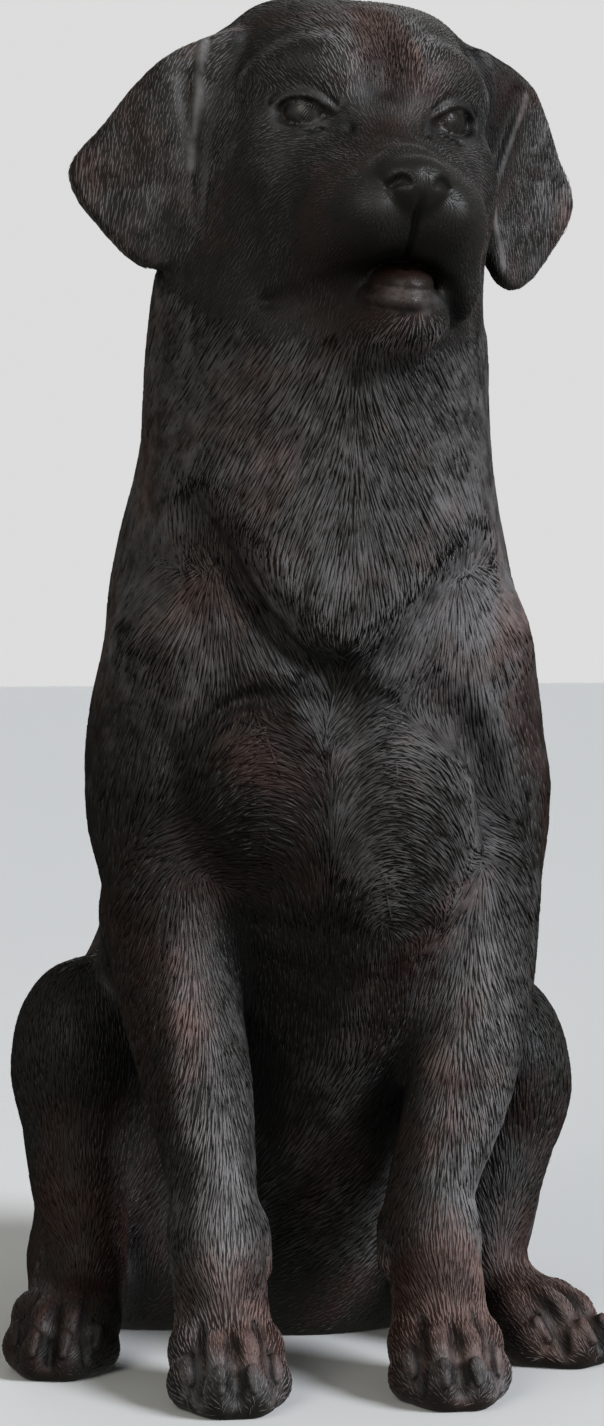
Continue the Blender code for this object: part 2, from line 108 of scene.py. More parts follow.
class Clay:
    """A block of distance samples. Masses are pressed onto it and grooves are carved from it."""

    def __init__(self, low, high, cell):
        self.low = np.array(low, float)
        self.cell = cell
        counts = np.ceil((np.array(high, float) - self.low) / cell).astype(int) + 1
        self.axes = [(self.low[i] + cell * np.arange(counts[i])).astype(np.float32) for i in range(3)]
        self.far = 4.0  # no distance is told beyond this
        self.skin = np.full(counts, self.far, np.float32)
        self.place(Matrix.Identity(4))

    def place(self, matrix):
        """Later masses are given in this frame."""
        self.matrix = matrix.copy()
        self.inverse = np.array(matrix.inverted(), np.float32)

    def block(self, low, high, pad):
        """The slices that hold a local box grown by pad, and the local coordinates of their samples."""
        corners = [self.matrix @ Vector(corner) for corner in itertools.product(*zip(low, high))]
        pad = 2 * pad + 2 * self.cell
        least = (np.min(corners, axis=0) - pad - self.low) / self.cell
        most = (np.max(corners, axis=0) + pad - self.low) / self.cell
        first = np.clip(np.floor(least), 0, self.skin.shape).astype(int)
        last = np.clip(np.ceil(most) + 1, 0, self.skin.shape).astype(int)
        slices = tuple(slice(*ends) for ends in zip(first, last))
        x = self.axes[0][slices[0]][:, None, None]
        y = self.axes[1][slices[1]][None, :, None]
        z = self.axes[2][slices[2]][None, None, :]
        row = self.inverse
        local = [row[i, 0] * x + row[i, 1] * y + row[i, 2] * z + row[i, 3] for i in range(3)]
        return slices, local

    def join(self, slices, distance, blend, carve):
        """Adds a mass, or takes it away, with a soft edge of size blend."""
        old = self.skin[slices]
        new = -distance if carve else distance
        share = np.maximum(blend - np.abs(old - new), 0) / max(blend, 1e-6)
        soft = share * share * (blend / 4)
        self.skin[slices] = np.maximum(old, new) + soft if carve else np.minimum(old, new) - soft

    def ball(self, centre, radii, turn=(0, 0, 0), blend=1.0, carve=False):
        """An ellipsoid, turned by Euler angles in degrees."""
        turned = Euler([math.radians(a) for a in turn]).to_matrix()
        reach = [math.sqrt(sum((turned[i][j] * radii[j]) ** 2 for j in range(3))) for i in range(3)]
        slices, (x, y, z) = self.block(np.subtract(centre, reach), np.add(centre, reach), blend)
        x, y, z = x - centre[0], y - centre[1], z - centre[2]
        near = far = 0
        for j in range(3):
            along = np.float32(turned[0][j]) * x + np.float32(turned[1][j]) * y + np.float32(turned[2][j]) * z
            near = near + (along * np.float32(1 / radii[j])) ** 2
            far = far + (along * np.float32(1 / radii[j] ** 2)) ** 2
        near = np.sqrt(near)
        self.join(slices, near * (near - 1) / np.maximum(np.sqrt(far), 1e-4), blend, carve)

    def chain(self, points, radii, blend=1.0, carve=False):
        """A round-ended rod through all the points, with a radius at each: a limb, a fold or a groove."""
        course = smooth([(*point, radius) for point, radius in zip(points, radii)], 4)
        low = [min(stop[i] - stop[3] for stop in course) for i in range(3)]
        high = [max(stop[i] + stop[3] for stop in course) for i in range(3)]
        slices, local = self.block(low, high, blend)
        distance = np.float32(self.far * 10)
        for start, end in zip(course, course[1:]):
            run = [np.float32(end[i] - start[i]) for i in range(3)]
            length = max(math.sqrt(sum(r * r for r in run)), 1e-4)
            share = sum((p - np.float32(a)) * r for p, a, r in zip(local, start, run))
            share = np.clip(share * np.float32(1 / length**2), 0, 1)
            gap = sum((p - np.float32(a) - r * share) ** 2 for p, a, r in zip(local, start, run))
            grown = np.float32(start[3]) + np.float32(end[3] - start[3]) * share
            distance = np.minimum(distance, np.sqrt(gap) - grown)
        self.join(slices, distance, blend, carve)

    def front(self, x, z):
        """The y of the skin met first when coming from the front at x, z."""
        i = int(round((x - self.low[0]) / self.cell))
        k = int(round((z - self.low[2]) / self.cell))
        line = self.skin[i, :, k]
        j = int(np.argmax(line < 0))
        return float(self.axes[1][j] - self.cell * line[j] / (line[j] - line[j - 1]))

    def fold(self, course, radius, depth, blend):
        """A groove that follows the front of the figure through points given as x, z, fading at both ends."""
        course = smooth(course, 3)
        points = []
        for i, (x, z) in enumerate(course):
            sunk = depth * math.sin(math.pi * (i + 0.5) / len(course))
            points.append((x, self.front(x, z) - radius + sunk, z))
        self.chain(points, [radius] * len(points), blend, carve=True)

    def flap(self, outline, thickness, bend, blend=0.6, edge=0.35):
        """A thin leaf in the local xz plane, bent towards y by bend(x, z), with a rounded rim."""
        points = np.array(smooth(outline, 4, closed=True), float)
        deepest = 4.0  # no leaf bends further out of its plane
        low = (points[:, 0].min(), -deepest, points[:, 1].min())
        high = (points[:, 0].max(), deepest, points[:, 1].max())
        slices, (x, y, z) = self.block(low, high, blend)
        x, y, z = np.broadcast_arrays(x, y, z)
        inside = np.zeros(x.shape, bool)
        nearest = np.full(x.shape, 1e6, np.float32)
        rim = points.astype(np.float32)
        for (ax, az), (bx, bz) in zip(rim, np.roll(rim, -1, axis=0)):
            run_x, run_z = bx - ax, bz - az
            share = np.clip(((x - ax) * run_x + (z - az) * run_z) / (run_x**2 + run_z**2), 0, 1)
            gap = (x - ax - run_x * share) ** 2 + (z - az - run_z * share) ** 2
            nearest = np.minimum(nearest, gap)
            crosses = (az > z) != (bz > z)
            inside ^= crosses & (x < ax + run_x * (z - az) / (run_z if run_z else 1e-9))
        across = np.where(inside, -1, 1) * np.sqrt(nearest) + edge
        through = np.abs(y - bend(x, z)) - (thickness(x, z) / 2 - edge)
        outside = np.sqrt(np.maximum(across, 0) ** 2 + np.maximum(through, 0) ** 2)
        distance = outside + np.minimum(np.maximum(across, through), 0) - edge
        self.join(slices, distance.astype(np.float32), blend, False)

    def sample(self, points):
        """The distance at any points, read between the samples."""
        at = (np.asarray(points) - self.low) / self.cell
        at = np.clip(at, 0, np.array(self.skin.shape) - 1.001)
        whole = at.astype(int)
        part = at - whole
        total = np.zeros(len(at))
        for step in itertools.product((0, 1), repeat=3):
            share = np.prod(np.where(step, part, 1 - part), axis=1)
            total += share * self.skin[tuple((whole + step).T)]
        return total

    def report(self, what):
        """Says how much clay there is now."""
        print(what, "set up,", int((self.skin < 0).sum()), "samples inside")


def smooth(points, steps, closed=False):
    """More points along a soft curve through the given ones."""
    count = len(points)
    stops = [np.array(point, float) for point in points]
    if count < 3:
        return stops
    spans = count if closed else count - 1
    course = []
    for i in range(spans):
        around = [(j % count) if closed else min(max(j, 0), count - 1) for j in (i - 1, i, i + 1, i + 2)]
        before, start, end, after = (stops[j] for j in around)
        for step in range(steps):
            t = step / steps
            bend = start * 2 + (end - before) * t
            bend = bend + (before * 2 - start * 5 + end * 4 - after) * t**2
            bend = bend + (start * 3 - before - end * 3 + after) * t**3
            course.append(bend / 2)
    if not closed:
        course.append(stops[-1])
    return course


def placed(at=(0, 0, 0), turn=(0, 0, 0), side=1):
    """A frame at a point, turned by Euler angles in degrees, and mirrored in x when side is -1."""
    mirror = Matrix.Diagonal((side, 1, 1, 1))
    turned = Euler([math.radians(a) for a in turn]).to_matrix().to_4x4()
    return mirror @ Matrix.Translation(at) @ turned


clay = Clay((-16, -20, -1.5), (16, 21, 62), CELL)
print("clay block of", clay.skin.size, "samples")

# %% [markdown]
# ## Trunk, breast and neck
# A sitting dog is a leaning egg for the ribs, a wider one for the rump, and a column for the neck.
# The breast is a keel with two lobes. Large blends melt them into each other, small ones keep a crease.

# %% Trunk, breast and neck
clay.place(placed())
clay.ball((0, -2.4, 28.4), (7.9, 8.2, 13), turn=(10, 0, 0), blend=4)
clay.ball((0, -0.6, 34), (6.4, 5.4, 6), blend=4)
clay.ball((0, 3.6, 18.5), (7.8, 7.4, 12), turn=(22, 0, 0), blend=4)
clay.ball((0, 7.8, 8.6), (9, 7.2, 8.8), blend=4)
clay.ball((0, 5.2, 3.8), (9.4, 6.6, 6.4), blend=3)
clay.ball((0, 0.4, 12), (6.6, 4.6, 8.6), turn=(12, 0, 0), blend=3)
clay.ball((0, 7.6, 1.6), (9.4, 6.4, 4.4), blend=3)
clay.chain([(1, -4.2, 15), (0.4, -0.6, 4.6)], [3.4, 3.8], blend=3)
clay.ball((0, 2.2, 2.6), (6.6, 4.4, 5), blend=3)
clay.chain([(0, -7.6, 29), (0.9, -7.9, 22), (1.2, -5, 16.4)], [4.6, 4.2, 3.2], blend=2.5)
clay.ball((-3.2, -7.2, 25.8), (3.6, 4.9, 4.6), turn=(-4, -8, -10), blend=1.8)
clay.ball((3.3, -7.8, 24.6), (3.6, 5, 6.2), turn=(-4, 8, 10), blend=1.8)
clay.chain([(-2.7, -6.2, 22.4), (-1.6, -4.6, 16.4)], [3, 2.2], blend=2)
clay.chain([(2.8, -7.9, 22), (2.1, -6.9, 16.4), (1.4, -4.8, 12)], [3.1, 2.5, 2.2], blend=1.8)
clay.ball((0.1, -3.4, 40), (7.7, 7, 9.6), turn=(4, 0, 0), blend=2.5)
clay.ball((0, -4.2, 46.5), (7.1, 6.4, 8), blend=2.5)
clay.ball((0.8, -7, 44.5), (4.8, 5, 6.5), blend=3)
clay.ball((0.1, -7.2, 37), (6.8, 4.7, 7.6), turn=(-10, 0, 0), blend=2.5)
clay.chain([(-3.4, -8.2, 36.2), (-0.3, -10.1, 32), (4, -8.4, 35.2)], [2.8, 2.4, 2.8], blend=2)
clay.report("trunk")

# %% [markdown]
# ## Forelegs and paws
# Each foreleg is one chain of points from the shoulder to the pastern, with the radius given at each
# point. A paw is written once, pointing forward, and set down four times.

# %% Forelegs and paws
FRONT_PAWS = ((-1, 5.2, -13.3), (1, 4.2, -13.3))  # side, out from the middle, y
TOES = ((-1.7, -1.9), (-0.66, -3.6), (0.66, -3.6), (1.7, -1.9))  # sideways, forward
TOE_GAPS = ((0, 0), (-1.25, 0.75), (1.25, 0.75))  # sideways, back


def paw(matrix, scale):
    """A paw that points along -y of its frame: four arched toes with blunt claws."""
    clay.place(matrix @ Matrix.Scale(scale, 4))
    clay.ball((0, -0.4, 1.6), (2.3, 3.1, 2), blend=0.8)
    clay.ball((0, -2.3, 0.6), (2.1, 2.3, 1.1), blend=0.5)
    for lateral, reach in TOES:
        clay.ball((lateral * 0.95, reach + 1.2, 2.1), (0.85, 1.3, 1.1), turn=(14, 0, 0), blend=0.3)
        clay.ball((lateral * 1.03, reach + 0.1, 1), (0.88, 1.25, 1.1), blend=0.3)
    for x, y in TOE_GAPS:
        gap = [(x * 0.9, y - 2, 3.3), (x, y - 3.2, 2.75), (x * 1.15, y - 4.25, 1.9), (x * 1.2, y - 4.6, 0.9)]
        clay.chain(gap, [0.02, 0.2, 0.22, 0.14], blend=0.4, carve=True)
    for lateral, reach in TOES:
        x = lateral * 1.05
        clay.chain([(x, reach - 0.5, 2), (x, reach - 1.25, 1.35)], [0.34, 0.2], blend=0.08)
        arc = [(x - 0.5, reach - 0.65, 1.75), (x, reach - 0.25, 2.45), (x + 0.5, reach - 0.65, 1.75)]
        clay.chain(arc, [0.06, 0.12, 0.06], blend=0.15, carve=True)


for side, x, y in FRONT_PAWS:
    clay.place(placed(side=side))
    clay.ball((5.8 + side * 0.2, -1.6, 33.6), (3.1, 5.6, 7), turn=(-14, -10, 0), blend=2)
    clay.chain([(5.8, -6.8, 30.8), (6.7, -5.4, 24)], [3.3, 3], blend=2.4)
    clay.ball((7.3 - side * 0.1, -3.6, 26.6), (2.7, 5.2, 5.6), turn=(-8, -3, 0), blend=1.4)
    clay.ball((7.4 - side * 0.2, -2.6, 19.4), (1.9, 3, 3.2), turn=(-20, 0, 0), blend=1.2)
    leg = [(6.9, -6.4, 25), (6.7, -7.2, 18), (5.8, -8.8, 12.6), (x + 0.1, y + 3.3, 8.2), (x, y + 2.9, 6.2)]
    clay.chain(leg, [2.8, 2.7, 2.3, 1.85, 1.95], blend=1.4)
    clay.chain([(x, y + 2.8, 6.2), (x, y + 0.6, 3)], [1.9, 2], blend=0.8)
    clay.chain([(x - 1.5, y + 3.1, 6.6), (x - 1.85, y + 2.5, 4.9)], [0.75, 0.5], blend=0.5)
    clay.chain([(x + 0.3, y + 4.9, 7.4), (x + 0.2, y + 4.9, 6.2)], [0.75, 0.85], blend=0.5)
for side, x, y in FRONT_PAWS:
    paw(placed((x, y, 0), side=side), 1)
clay.report("forelegs")

# %% [markdown]
# ## The folds of the breast
# Where the neck, the shoulders and the breast meet, the skin folds into a V. A fold is given by points
# seen from the front only. The clay itself says how deep its skin lies there, and a rod is carved along it.

# %% The folds of the breast
FOLDS = (
    # points as x, z, then radius, depth and softness
    ([(-6.6, 37.2), (-5.2, 35), (-3.9, 32.9), (-2.4, 31.2), (-0.8, 29.8)], 1.1, 0.4, 1.3),
    ([(-6.3, 37.8), (-4.8, 35.5), (-3.7, 33.7), (-2.2, 31.7), (-1, 30.6), (-0.2, 29.8), (0.5, 28.8)],
     0.5, 0.62, 0.45),
    ([(6.8, 35.6), (4.6, 33.3), (2.4, 31.2), (-0.2, 29.4)], 0.7, 0.2, 1.3),
    ([(-6.8, 26.6), (-6.1, 27.9), (-5.2, 28.9), (-4.2, 29.5), (-2.6, 29.6), (-0.6, 29.3)], 0.3, 0.2, 0.45),
    ([(0.4, 29.5), (1.8, 29.4), (3.5, 28.7), (4.9, 27.5)], 0.3, 0.18, 0.5),
    ([(4, 29.4), (5.5, 28.2), (6.6, 26.4), (7, 24.6)], 0.9, 0.8, 1.1),
    ([(-0.3, 30.2), (0, 28.4), (0.3, 26.2), (0.6, 23.4)], 0.7, 0.16, 1.6),
)
clay.place(placed())
for course, radius, depth, blend in FOLDS:
    clay.fold(course, radius, depth, blend)
print(len(FOLDS), "folds carved")

# %% [markdown]
# ## Hind legs and tail
# The haunches bulge out on both sides of the seat, and the feet reach forward beside the front paws.
# The picture hides the tail, so it lies along the ground round the right haunch, as a sitting dog's does.

# %% Hind legs and tail
for side, knee, ankle, foot, spread, width in (
    (-1, (11, -2.2, 14.6), (10.3, -3.8, 4.2), (11.2, -5.8), 16, 4),
    (1, (9.7, -3.6, 13.8), (7.4, -5, 4.2), (8.9, -7), 38, 3.4),
):
    clay.place(placed(side=side))
    clay.ball((5.4, 5.6, 14.6), (3.2, 6.4, 4.4), turn=(-20, 0, 0), blend=4)
    clay.chain([(6.2, 9, 8.8), (knee[0] - 1.6, knee[1] + 2.4, knee[2] - 1.6)], [5.6, 3.4], blend=3)
    clay.ball((8.1, 4.8, 7.6), (width, 7.4, 7.4), turn=(-12, 0, 8), blend=2)
    clay.ball((6.8, 3.6, 2.6), (width, 5.2, 3.6), blend=2)
    clay.ball((knee[0] - 0.4, knee[1] + 1.4, knee[2] - 1.6), (2.5, 3.2, 3.9), turn=(-12, 0, 0), blend=1.2)
    clay.chain([(knee[0] - 0.4, knee[1] + 1.4, knee[2] - 3), ankle], [2.5, 1.8], blend=1)
    clay.chain([(ankle[0] - 0.3, 4.6, 2.2), (ankle[0] + 0.6, foot[1] + 1.2, 2.1)], [2.3, 2], blend=1.4)
    paw(placed((foot[0], foot[1], 0), (0, 0, spread), side), 0.98)
TAIL = [(0, 12, 7.4), (-1, 14.4, 4), (-4.4, 15, 2), (-8.2, 12.9, 1.5), (-10.6, 9.6, 1.2)]
clay.place(placed())
clay.chain(TAIL, [3, 2.3, 1.9, 1.6, 0.9], blend=1)
clay.report("hind legs and tail")

# %% [markdown]
# ## The head
# The head is built in a frame of its own, so that it can be turned and tilted on the neck at the end.
# Here x is the dog's left, -y its forward and z up, all from the middle of the skull.

# %% The head
HEAD_AT = (1.1, -5, 54)
HEAD_TURN = 7.5  # degrees, to the dog's own left
HEAD_TILT = 2.3  # degrees, left ear down
BROW = ((1.5, -5.2, 1.5), (2.3, -5.3, 2.2), (3.6, -4.8, 2.3), (4.8, -3.5, 1.5))
head_frame = placed(HEAD_AT, (0, HEAD_TILT, HEAD_TURN))
clay.place(head_frame)
clay.ball((0, 0.7, 0), (5.4, 6.3, 5.95), blend=2)
clay.ball((0, -3.2, 1), (4.3, 3.3, 3.4), blend=2)
for side in (-1, 1):
    clay.ball((side * 2.6, 0.6, 1.5), (3, 5, 4.1), blend=1.6)
    clay.ball((side * 3.65, -3.2, -2.1), (1.9, 2.9, 2.2), turn=(0, 0, side * 12), blend=1.8)
    clay.ball((side * 3.5, -1.4, -3.8), (2.3, 4.2, 3.6), blend=2)
    clay.chain([(side * x, y, z) for x, y, z in BROW], [0.55, 0.75, 0.6, 0.4], blend=1.7)
clay.chain([(0.2, -4.4, 5), (0.1, -6.2, 3), (0, -6.6, 1.6)], [0.1, 0.2, 0.1], blend=1.8, carve=True)
clay.report("head")

# %% [markdown]
# ## Muzzle, nose and mouth
# The muzzle is a rod with two hanging lips over it. The mouth is carved out under them, and a tongue
# and a lower lip are laid in the hollow. The nose goes on last, with its nostrils and the groove below it.

# %% Muzzle, nose and mouth
MOUTH_SHIFT = 0.7  # the jaw hangs a little to the dog's left
clay.chain([(0, -4, -2.4), (0, -9.4, -3.2)], [3.2, 2], blend=1.8)
clay.chain([(0, -1.5, -6.2), (MOUTH_SHIFT, -8.3, -8)], [3.3, 1.3], blend=1.6)
for side, drop in ((-1, 0), (1, 0.45)):
    flew = (1.7, 4.4, 2.5 + drop)
    clay.ball((side * 2.2, -5.6, -4.5 - drop), flew, turn=(-6, side * 4, side * 10), blend=2.2)
    clay.ball((side * 1.45, -9.4, -4.2), (1.65, 2.5, 1.65), turn=(0, 0, side * 8), blend=1.3)
clay.ball((3.1, -5.8, -7), (0.95, 2.8, 1.7), turn=(0, 0, 8), blend=0.9)
clay.ball((MOUTH_SHIFT - 0.15, -10.4, -7.15), (1.75, 4, 1.05), turn=(7, 0, 0), blend=0.3, carve=True)
for side, low in ((-1, 0), (1, 0.9)):
    under = [(side * 1.9 + 0.3, -9, -7.1), (side * 3.1, -7.4, -7.5 - low), (side * 4.6, -5.2, -7.8 - low)]
    clay.chain(under, [0.16, 0.1, 0.02], blend=0.8, carve=True)
clay.ball((MOUTH_SHIFT, -7, -8.5), (1.75, 2.6, 1.3), blend=1.2)
clay.ball((MOUTH_SHIFT - 0.25, -7.9, -6.85), (1.4, 2.3, 0.9), turn=(8, 0, 0), blend=0.12)
lip = [(-0.95, -8.1, -7.45), (-0.6, -9.3, -7.65), (0.4, -10, -7.8), (1.4, -9.3, -7.65), (1.8, -8.1, -7.45)]
clay.chain(lip, [0.3, 0.32, 0.34, 0.32, 0.3], blend=0.3)
clay.ball((-0.05, -10.9, -2.9), (1.7, 1.6, 1.15), blend=0.2)
clay.ball((0, -11.2, -3.4), (1.2, 1.2, 0.9), blend=0.4)
nose_rim = [(-1.6, -11, -3.7), (-1.85, -10.4, -2.8), (-1.2, -9.8, -1.9), (0, -9.6, -1.65), (1.1, -9.8, -1.9),
            (1.75, -10.4, -2.8), (1.5, -11, -3.7)]
clay.chain(nose_rim, [0.06] * 7, blend=0.3, carve=True)
nose_split = [(0.05, -12.45, -2.2), (0.05, -12.6, -3), (0.05, -12.45, -3.9)]
clay.chain(nose_split, [0.02, 0.08, 0.08], blend=0.2, carve=True)
philtrum = [head_frame @ Vector(point) for point in ((0, -11.8, -3.6), (0, -11.4, -5), (0.1, -11, -6.4))]
clay.place(placed())
clay.fold([(point.x, point.z) for point in philtrum], 0.12, 0.2, 0.15)
clay.place(head_frame)
for side in (-1, 1):
    nostril = [(side * 0.62, -12.4, -3.15), (side * 0.95, -12.25, -3), (side * 1.35, -11.7, -3.3)]
    clay.chain(nostril, [0.14, 0.26, 0.08], blend=0.12, carve=True)
clay.report("muzzle, nose and mouth")

# %% [markdown]
# ## Eyes
# The lids start as one mound. Two creases are carved round it, an opening is cut into it, and the
# eyeball is set in the opening. The two eyes are the same lines, mirrored.

# %% Eyes
EYE_AT = (3, -4.9, 0.2)
for side in (-1, 1):
    clay.place(head_frame @ placed(EYE_AT, (-2, 4, 30), side))
    clay.ball((0, 0.2, 0.1), (1.85, 1.42, 1.3), blend=0.5)
    over = [(-1.5, -0.8, 0.25), (-0.8, -1.15, 0.9), (0.2, -1.2, 1.05), (1.2, -0.85, 0.7), (1.7, -0.3, 0.1)]
    clay.chain(over, [0.08, 0.13, 0.13, 0.1, 0.04], blend=0.18, carve=True)
    below = [(-1.4, -0.85, -0.65), (0, -1.1, -0.98), (1.3, -0.6, -0.7)]
    clay.chain(below, [0.02, 0.05, 0.02], blend=0.2, carve=True)
    clay.ball((0.1, -1.35, 0), (1.25, 1.15, 0.62), turn=(0, -8, 0), blend=0.15, carve=True)
    corner = [(-1.05, -1, -0.15), (-1.5, -1, -0.35), (-1.85, -1.05, -0.3)]
    clay.chain(corner, [0.3, 0.18, 0.1], blend=0.2, carve=True)
    tear_line = [(-1.8, -1.05, -0.1), (-2.1, -1.05, -0.9), (-2.3, -1, -1.6)]
    clay.chain(tear_line, [0.14, 0.12, 0.03], blend=0.3, carve=True)
    clay.ball((0, 0.3, 0.05), (1.28, 1.28, 1.28), blend=0.04)
clay.report("eyes")

# %% [markdown]
# ## Ears
# An ear is a leaf: a flat outline with a thickness, bent out of its plane. Its front edge is a thin roll
# of skin, and beside it lies a sunken strip. The two ears hang differently, so each has its own roll.

# %% Ears
EAR_OUTLINE = [
    (-0.9, 3.9), (0.9, 3.5), (2.4, 2.7), (3.8, 1.4), (5, -0.1), (6.4, -1.7), (6.3, -2.9), (5.2, -4.3),
    (3.9, -5.6), (2.6, -6.3), (1.4, -6), (0.5, -4.9), (0.2, -3.2), (0.3, -1.2), (0, 1.6),
]
EAR_ROLL = {
    -1: [(1.9, 1.7), (1.75, 0.8), (1.35, -0.8), (0.95, -2.6), (0.9, -4.2), (1.1, -5.4)],
    1: [(1.95, 2.1), (1.6, 1), (0.95, -0.8), (0.5, -2.2), (0.55, -3.6), (1.35, -5.4)],
}
EAR_RIM = {
    -1: [(0.6, 3.4), (0.75, 1.6), (0.85, -0.4), (0.9, -2)],
    1: [(-0.2, 3.3), (0.05, 2.6), (0.15, 1.8), (0.1, 0.8)],
}
EAR_AT = (6, -1, 0)
EAR_FOLD = 1.9  # where the outer part of the ear turns back
# lines along the ear rims, painted lighter later: partly the dry brush, partly a painted highlight
brushed_and_lit_rim_lines = []


def ear_bend(x, z):
    return 0.36 * np.maximum(x - EAR_FOLD - 0.25 * z, 0) - 0.012 * (z + 1) ** 2


def ear_thickness(x, z):
    return 1.1 + 0.03 * z


def on_ear(line):
    """A line of x, z, set on the front of the ear."""
    return [(x, ear_bend(x, z) - ear_thickness(x, z) / 2, z) for x, z in line]


for side in (-1, 1):
    clay.place(head_frame @ placed(side=side))
    clay.chain([(3.6, 0.2, 3), (6.4, -0.4, 2.3)], [1.9, 1], blend=1.4)
    clay.ball((5.3, -0.2, 0.4), (1.5, 1.5, 3.4), blend=1)
    ear_frame = placed(EAR_AT, (0, 0, 18), side)
    clay.place(head_frame @ ear_frame)
    clay.flap(EAR_OUTLINE, ear_thickness, ear_bend)
    roll = on_ear(EAR_ROLL[side])
    strip = [(x - 0.5, y - 0.29 + 0.03 * side, z + 0.1) for x, y, z in roll[:5]]
    clay.chain(strip, [0.3, 0.36, 0.36, 0.3, 0.2], blend=0.35, carve=True)
    clay.chain([(x, y + 0.08, z) for x, y, z in roll], [0.12, 0.2, 0.2, 0.2, 0.18, 0.1], blend=0.2)
    ear_rim = [(x, y - 0.02, z) for x, y, z in on_ear(EAR_RIM[side])]
    clay.chain(ear_rim, [0.12, 0.18, 0.18, 0.1], blend=0.25)
    brushed_and_lit_rim_lines.append([np.array(ear_frame @ Vector(point)) for point in (ear_rim if side < 0 else roll)])
clay.report("ears")

# %% [markdown]
# ## One skin over the clay
# The clay is cut off at the ground, so the figure stands flat. The samples become a surface where their
# distance is nought. It comes out as even squares, so Decimate takes faces away where the form is plain
# and keeps them in the folds. That can leave two faces back to back on the same corners. Both go.

# %% One skin over the clay
SKIN_TRIANGLES = 188000
ground = clay.axes[2][None, None, :]
clay.skin = np.maximum(clay.skin, -ground)
grid = openvdb.FloatGrid(clay.far)
grid.copyFromArray(clay.skin)
points, quads = grid.convertToQuads(isovalue=0)
points = (clay.low + points * clay.cell) * UNIT - (0, SEAT_TO_ORIGIN, 0)


def made_plain(obj, name):
    """The object with its modifiers applied, as a plain mesh under a new name. The old object goes."""
    depsgraph = bpy.context.evaluated_depsgraph_get()
    mesh = bpy.data.meshes.new_from_object(obj.evaluated_get(depsgraph))
    bpy.data.objects.remove(obj)
    mesh.name = name
    return new_object(name, mesh)


raw = bpy.data.meshes.new("raw_skin")
raw.from_pydata(points, [], quads, shade_flat=False)
raw_skin = new_object("raw_skin", raw)
thin = raw_skin.modifiers.new("thin", "DECIMATE")
thin.ratio = SKIN_TRIANGLES / (2 * len(quads))
thin.use_collapse_triangulate = True
dog = made_plain(raw_skin, "labrador_cast")
edit = bmesh.new()
edit.from_mesh(dog.data)
same_corners = {}
for face in edit.faces:
    same_corners.setdefault(frozenset(corner.index for corner in face.verts), []).append(face)
double = [face for group in same_corners.values() if len(group) > 1 for face in group]
bmesh.ops.delete(edit, geom=double, context="FACES")
edit.to_mesh(dog.data)
edit.free()
dog.data.shade_smooth()
print(len(quads), "squares thinned to", len(dog.data.polygons), "faces,", len(double), "doubles gone")

# %% [markdown]
# ## What the painter sees
# Paint and wear follow the form: the hollows are painted darker, a painted shade for the light they would
# miss, and the brush and the hand only touch what stands out. Both can be read from the clay. Just outside
# a dip the distance to the skin is smaller than the step taken, and just under a ridge the depth is smaller
# than the step.

# %% What the painter sees
def read_points(mesh, what):
    """Three numbers for each point of a mesh."""
    values = np.empty(3 * len(mesh.vertices), np.float32)
    mesh.vertices.foreach_get(what, values)
    return values.reshape(-1, 3).astype(float)


def ramp(value, low, high):
    """0 below low, 1 above high, and a soft rise between."""
    share = np.clip((value - low) / (high - low), 0, 1)
    return share * share * (3 - 2 * share)


def write(name, value):
    """Keeps one number for each point of the skin, for the coat and the paint to read."""
    kind, field = ("FLOAT_VECTOR", "vector") if value.ndim == 2 else ("FLOAT", "value")
    layer = dog.data.attributes.new(name, kind, "POINT")
    layer.data.foreach_set(field, value.astype(np.float32).ravel())


def openness(step):
    """1 over and under plain skin, less over a dip (outward steps) or under a ridge (inward steps)."""
    return clay.sample(place + normal * step) / step


place = (read_points(dog.data, "co") + (0, SEAT_TO_ORIGIN, 0)) / UNIT
normal = read_points(dog.data, "normal")
count = len(place)
HOLLOW_STEPS = (0.35, 0.7, 1.4, 2.6)  # outwards
RIDGE_STEPS = (-0.3, -0.6, -1.2)  # inwards
# the hollows are painted darker later: painted shade where less light would reach
hollow = np.mean([1 - openness(step) for step in HOLLOW_STEPS], axis=0)
raised = ramp(np.mean([1 - openness(step) for step in RIDGE_STEPS], axis=0), 0.02, 0.35)
sharp = ramp(1 - openness(RIDGE_STEPS[0]), 0.15, 0.6)
print("hollow from", round(float(hollow.min()), 2), "to", round(float(hollow.max()), 2))

# %% [markdown]
# ## The lie of the coat
# Each guide is like a chalk line on the clay that says how the hair lies: a place, a direction and a
# reach. Some spread like a fan, and on the lobes of the breast they arch over a middle. All are laid flat
# on the skin and mixed as lines without a head or a tail, so two that run opposite ways agree.

# %% The lie of the coat
SIDE_GUIDES = (
    # place, direction and reach on the dog's left, mirrored for its right
    ((3.8, -10.4, 43), (0.7, 0.2, -0.8), 2),
    ((3.9, -10.4, 38.6), (0.5, 0, -1), 1.6),
    ((6.2, -7.5, 43), (0.6, 0.5, -0.8), 2.4),
    ((5.6, -8.8, 38), (-0.12, -0.2, -1), 1.3),
    ((3.4, -10.4, 34.4), (-0.4, -0.2, -1), 1.2),
    ((1.6, -11.2, 31.8), (-0.4, 0, -1), 1),
    ((7.8, -4.5, 30), (0.1, 0.35, -1), 3),
    ((9.6, -2.5, 24), (0, 0.3, -1), 3),
    ((6, -9.8, 23.2), (1, 0, -0.25), 1.1),
    ((8.6, -5, 16), (0, 0.4, -1), 2.5),
    ((7, 3, 30), (0.2, 0.6, -1), 4),
    ((8, 6, 20), (0.3, 0.5, -0.8), 4),
    ((6, 3, 38), (0.1, 0.7, -1), 3),
    ((7.4, -2, 44), (0.1, 0.6, -1), 3),
    ((11, -1, 13), (0, -0.5, -1), 2.5),
    ((11.5, 3, 9), (0, -0.2, -1), 3.5),
    ((9, 10, 7), (0.3, 0.2, -1), 4),
    ((9.6, -3.5, 5), (0, -1, -0.5), 2),
    ((9.4, -8.5, 3), (0.2, -1, -0.3), 2),
    ((4.8, -14.5, 3), (0, -1, -0.4), 2),
)
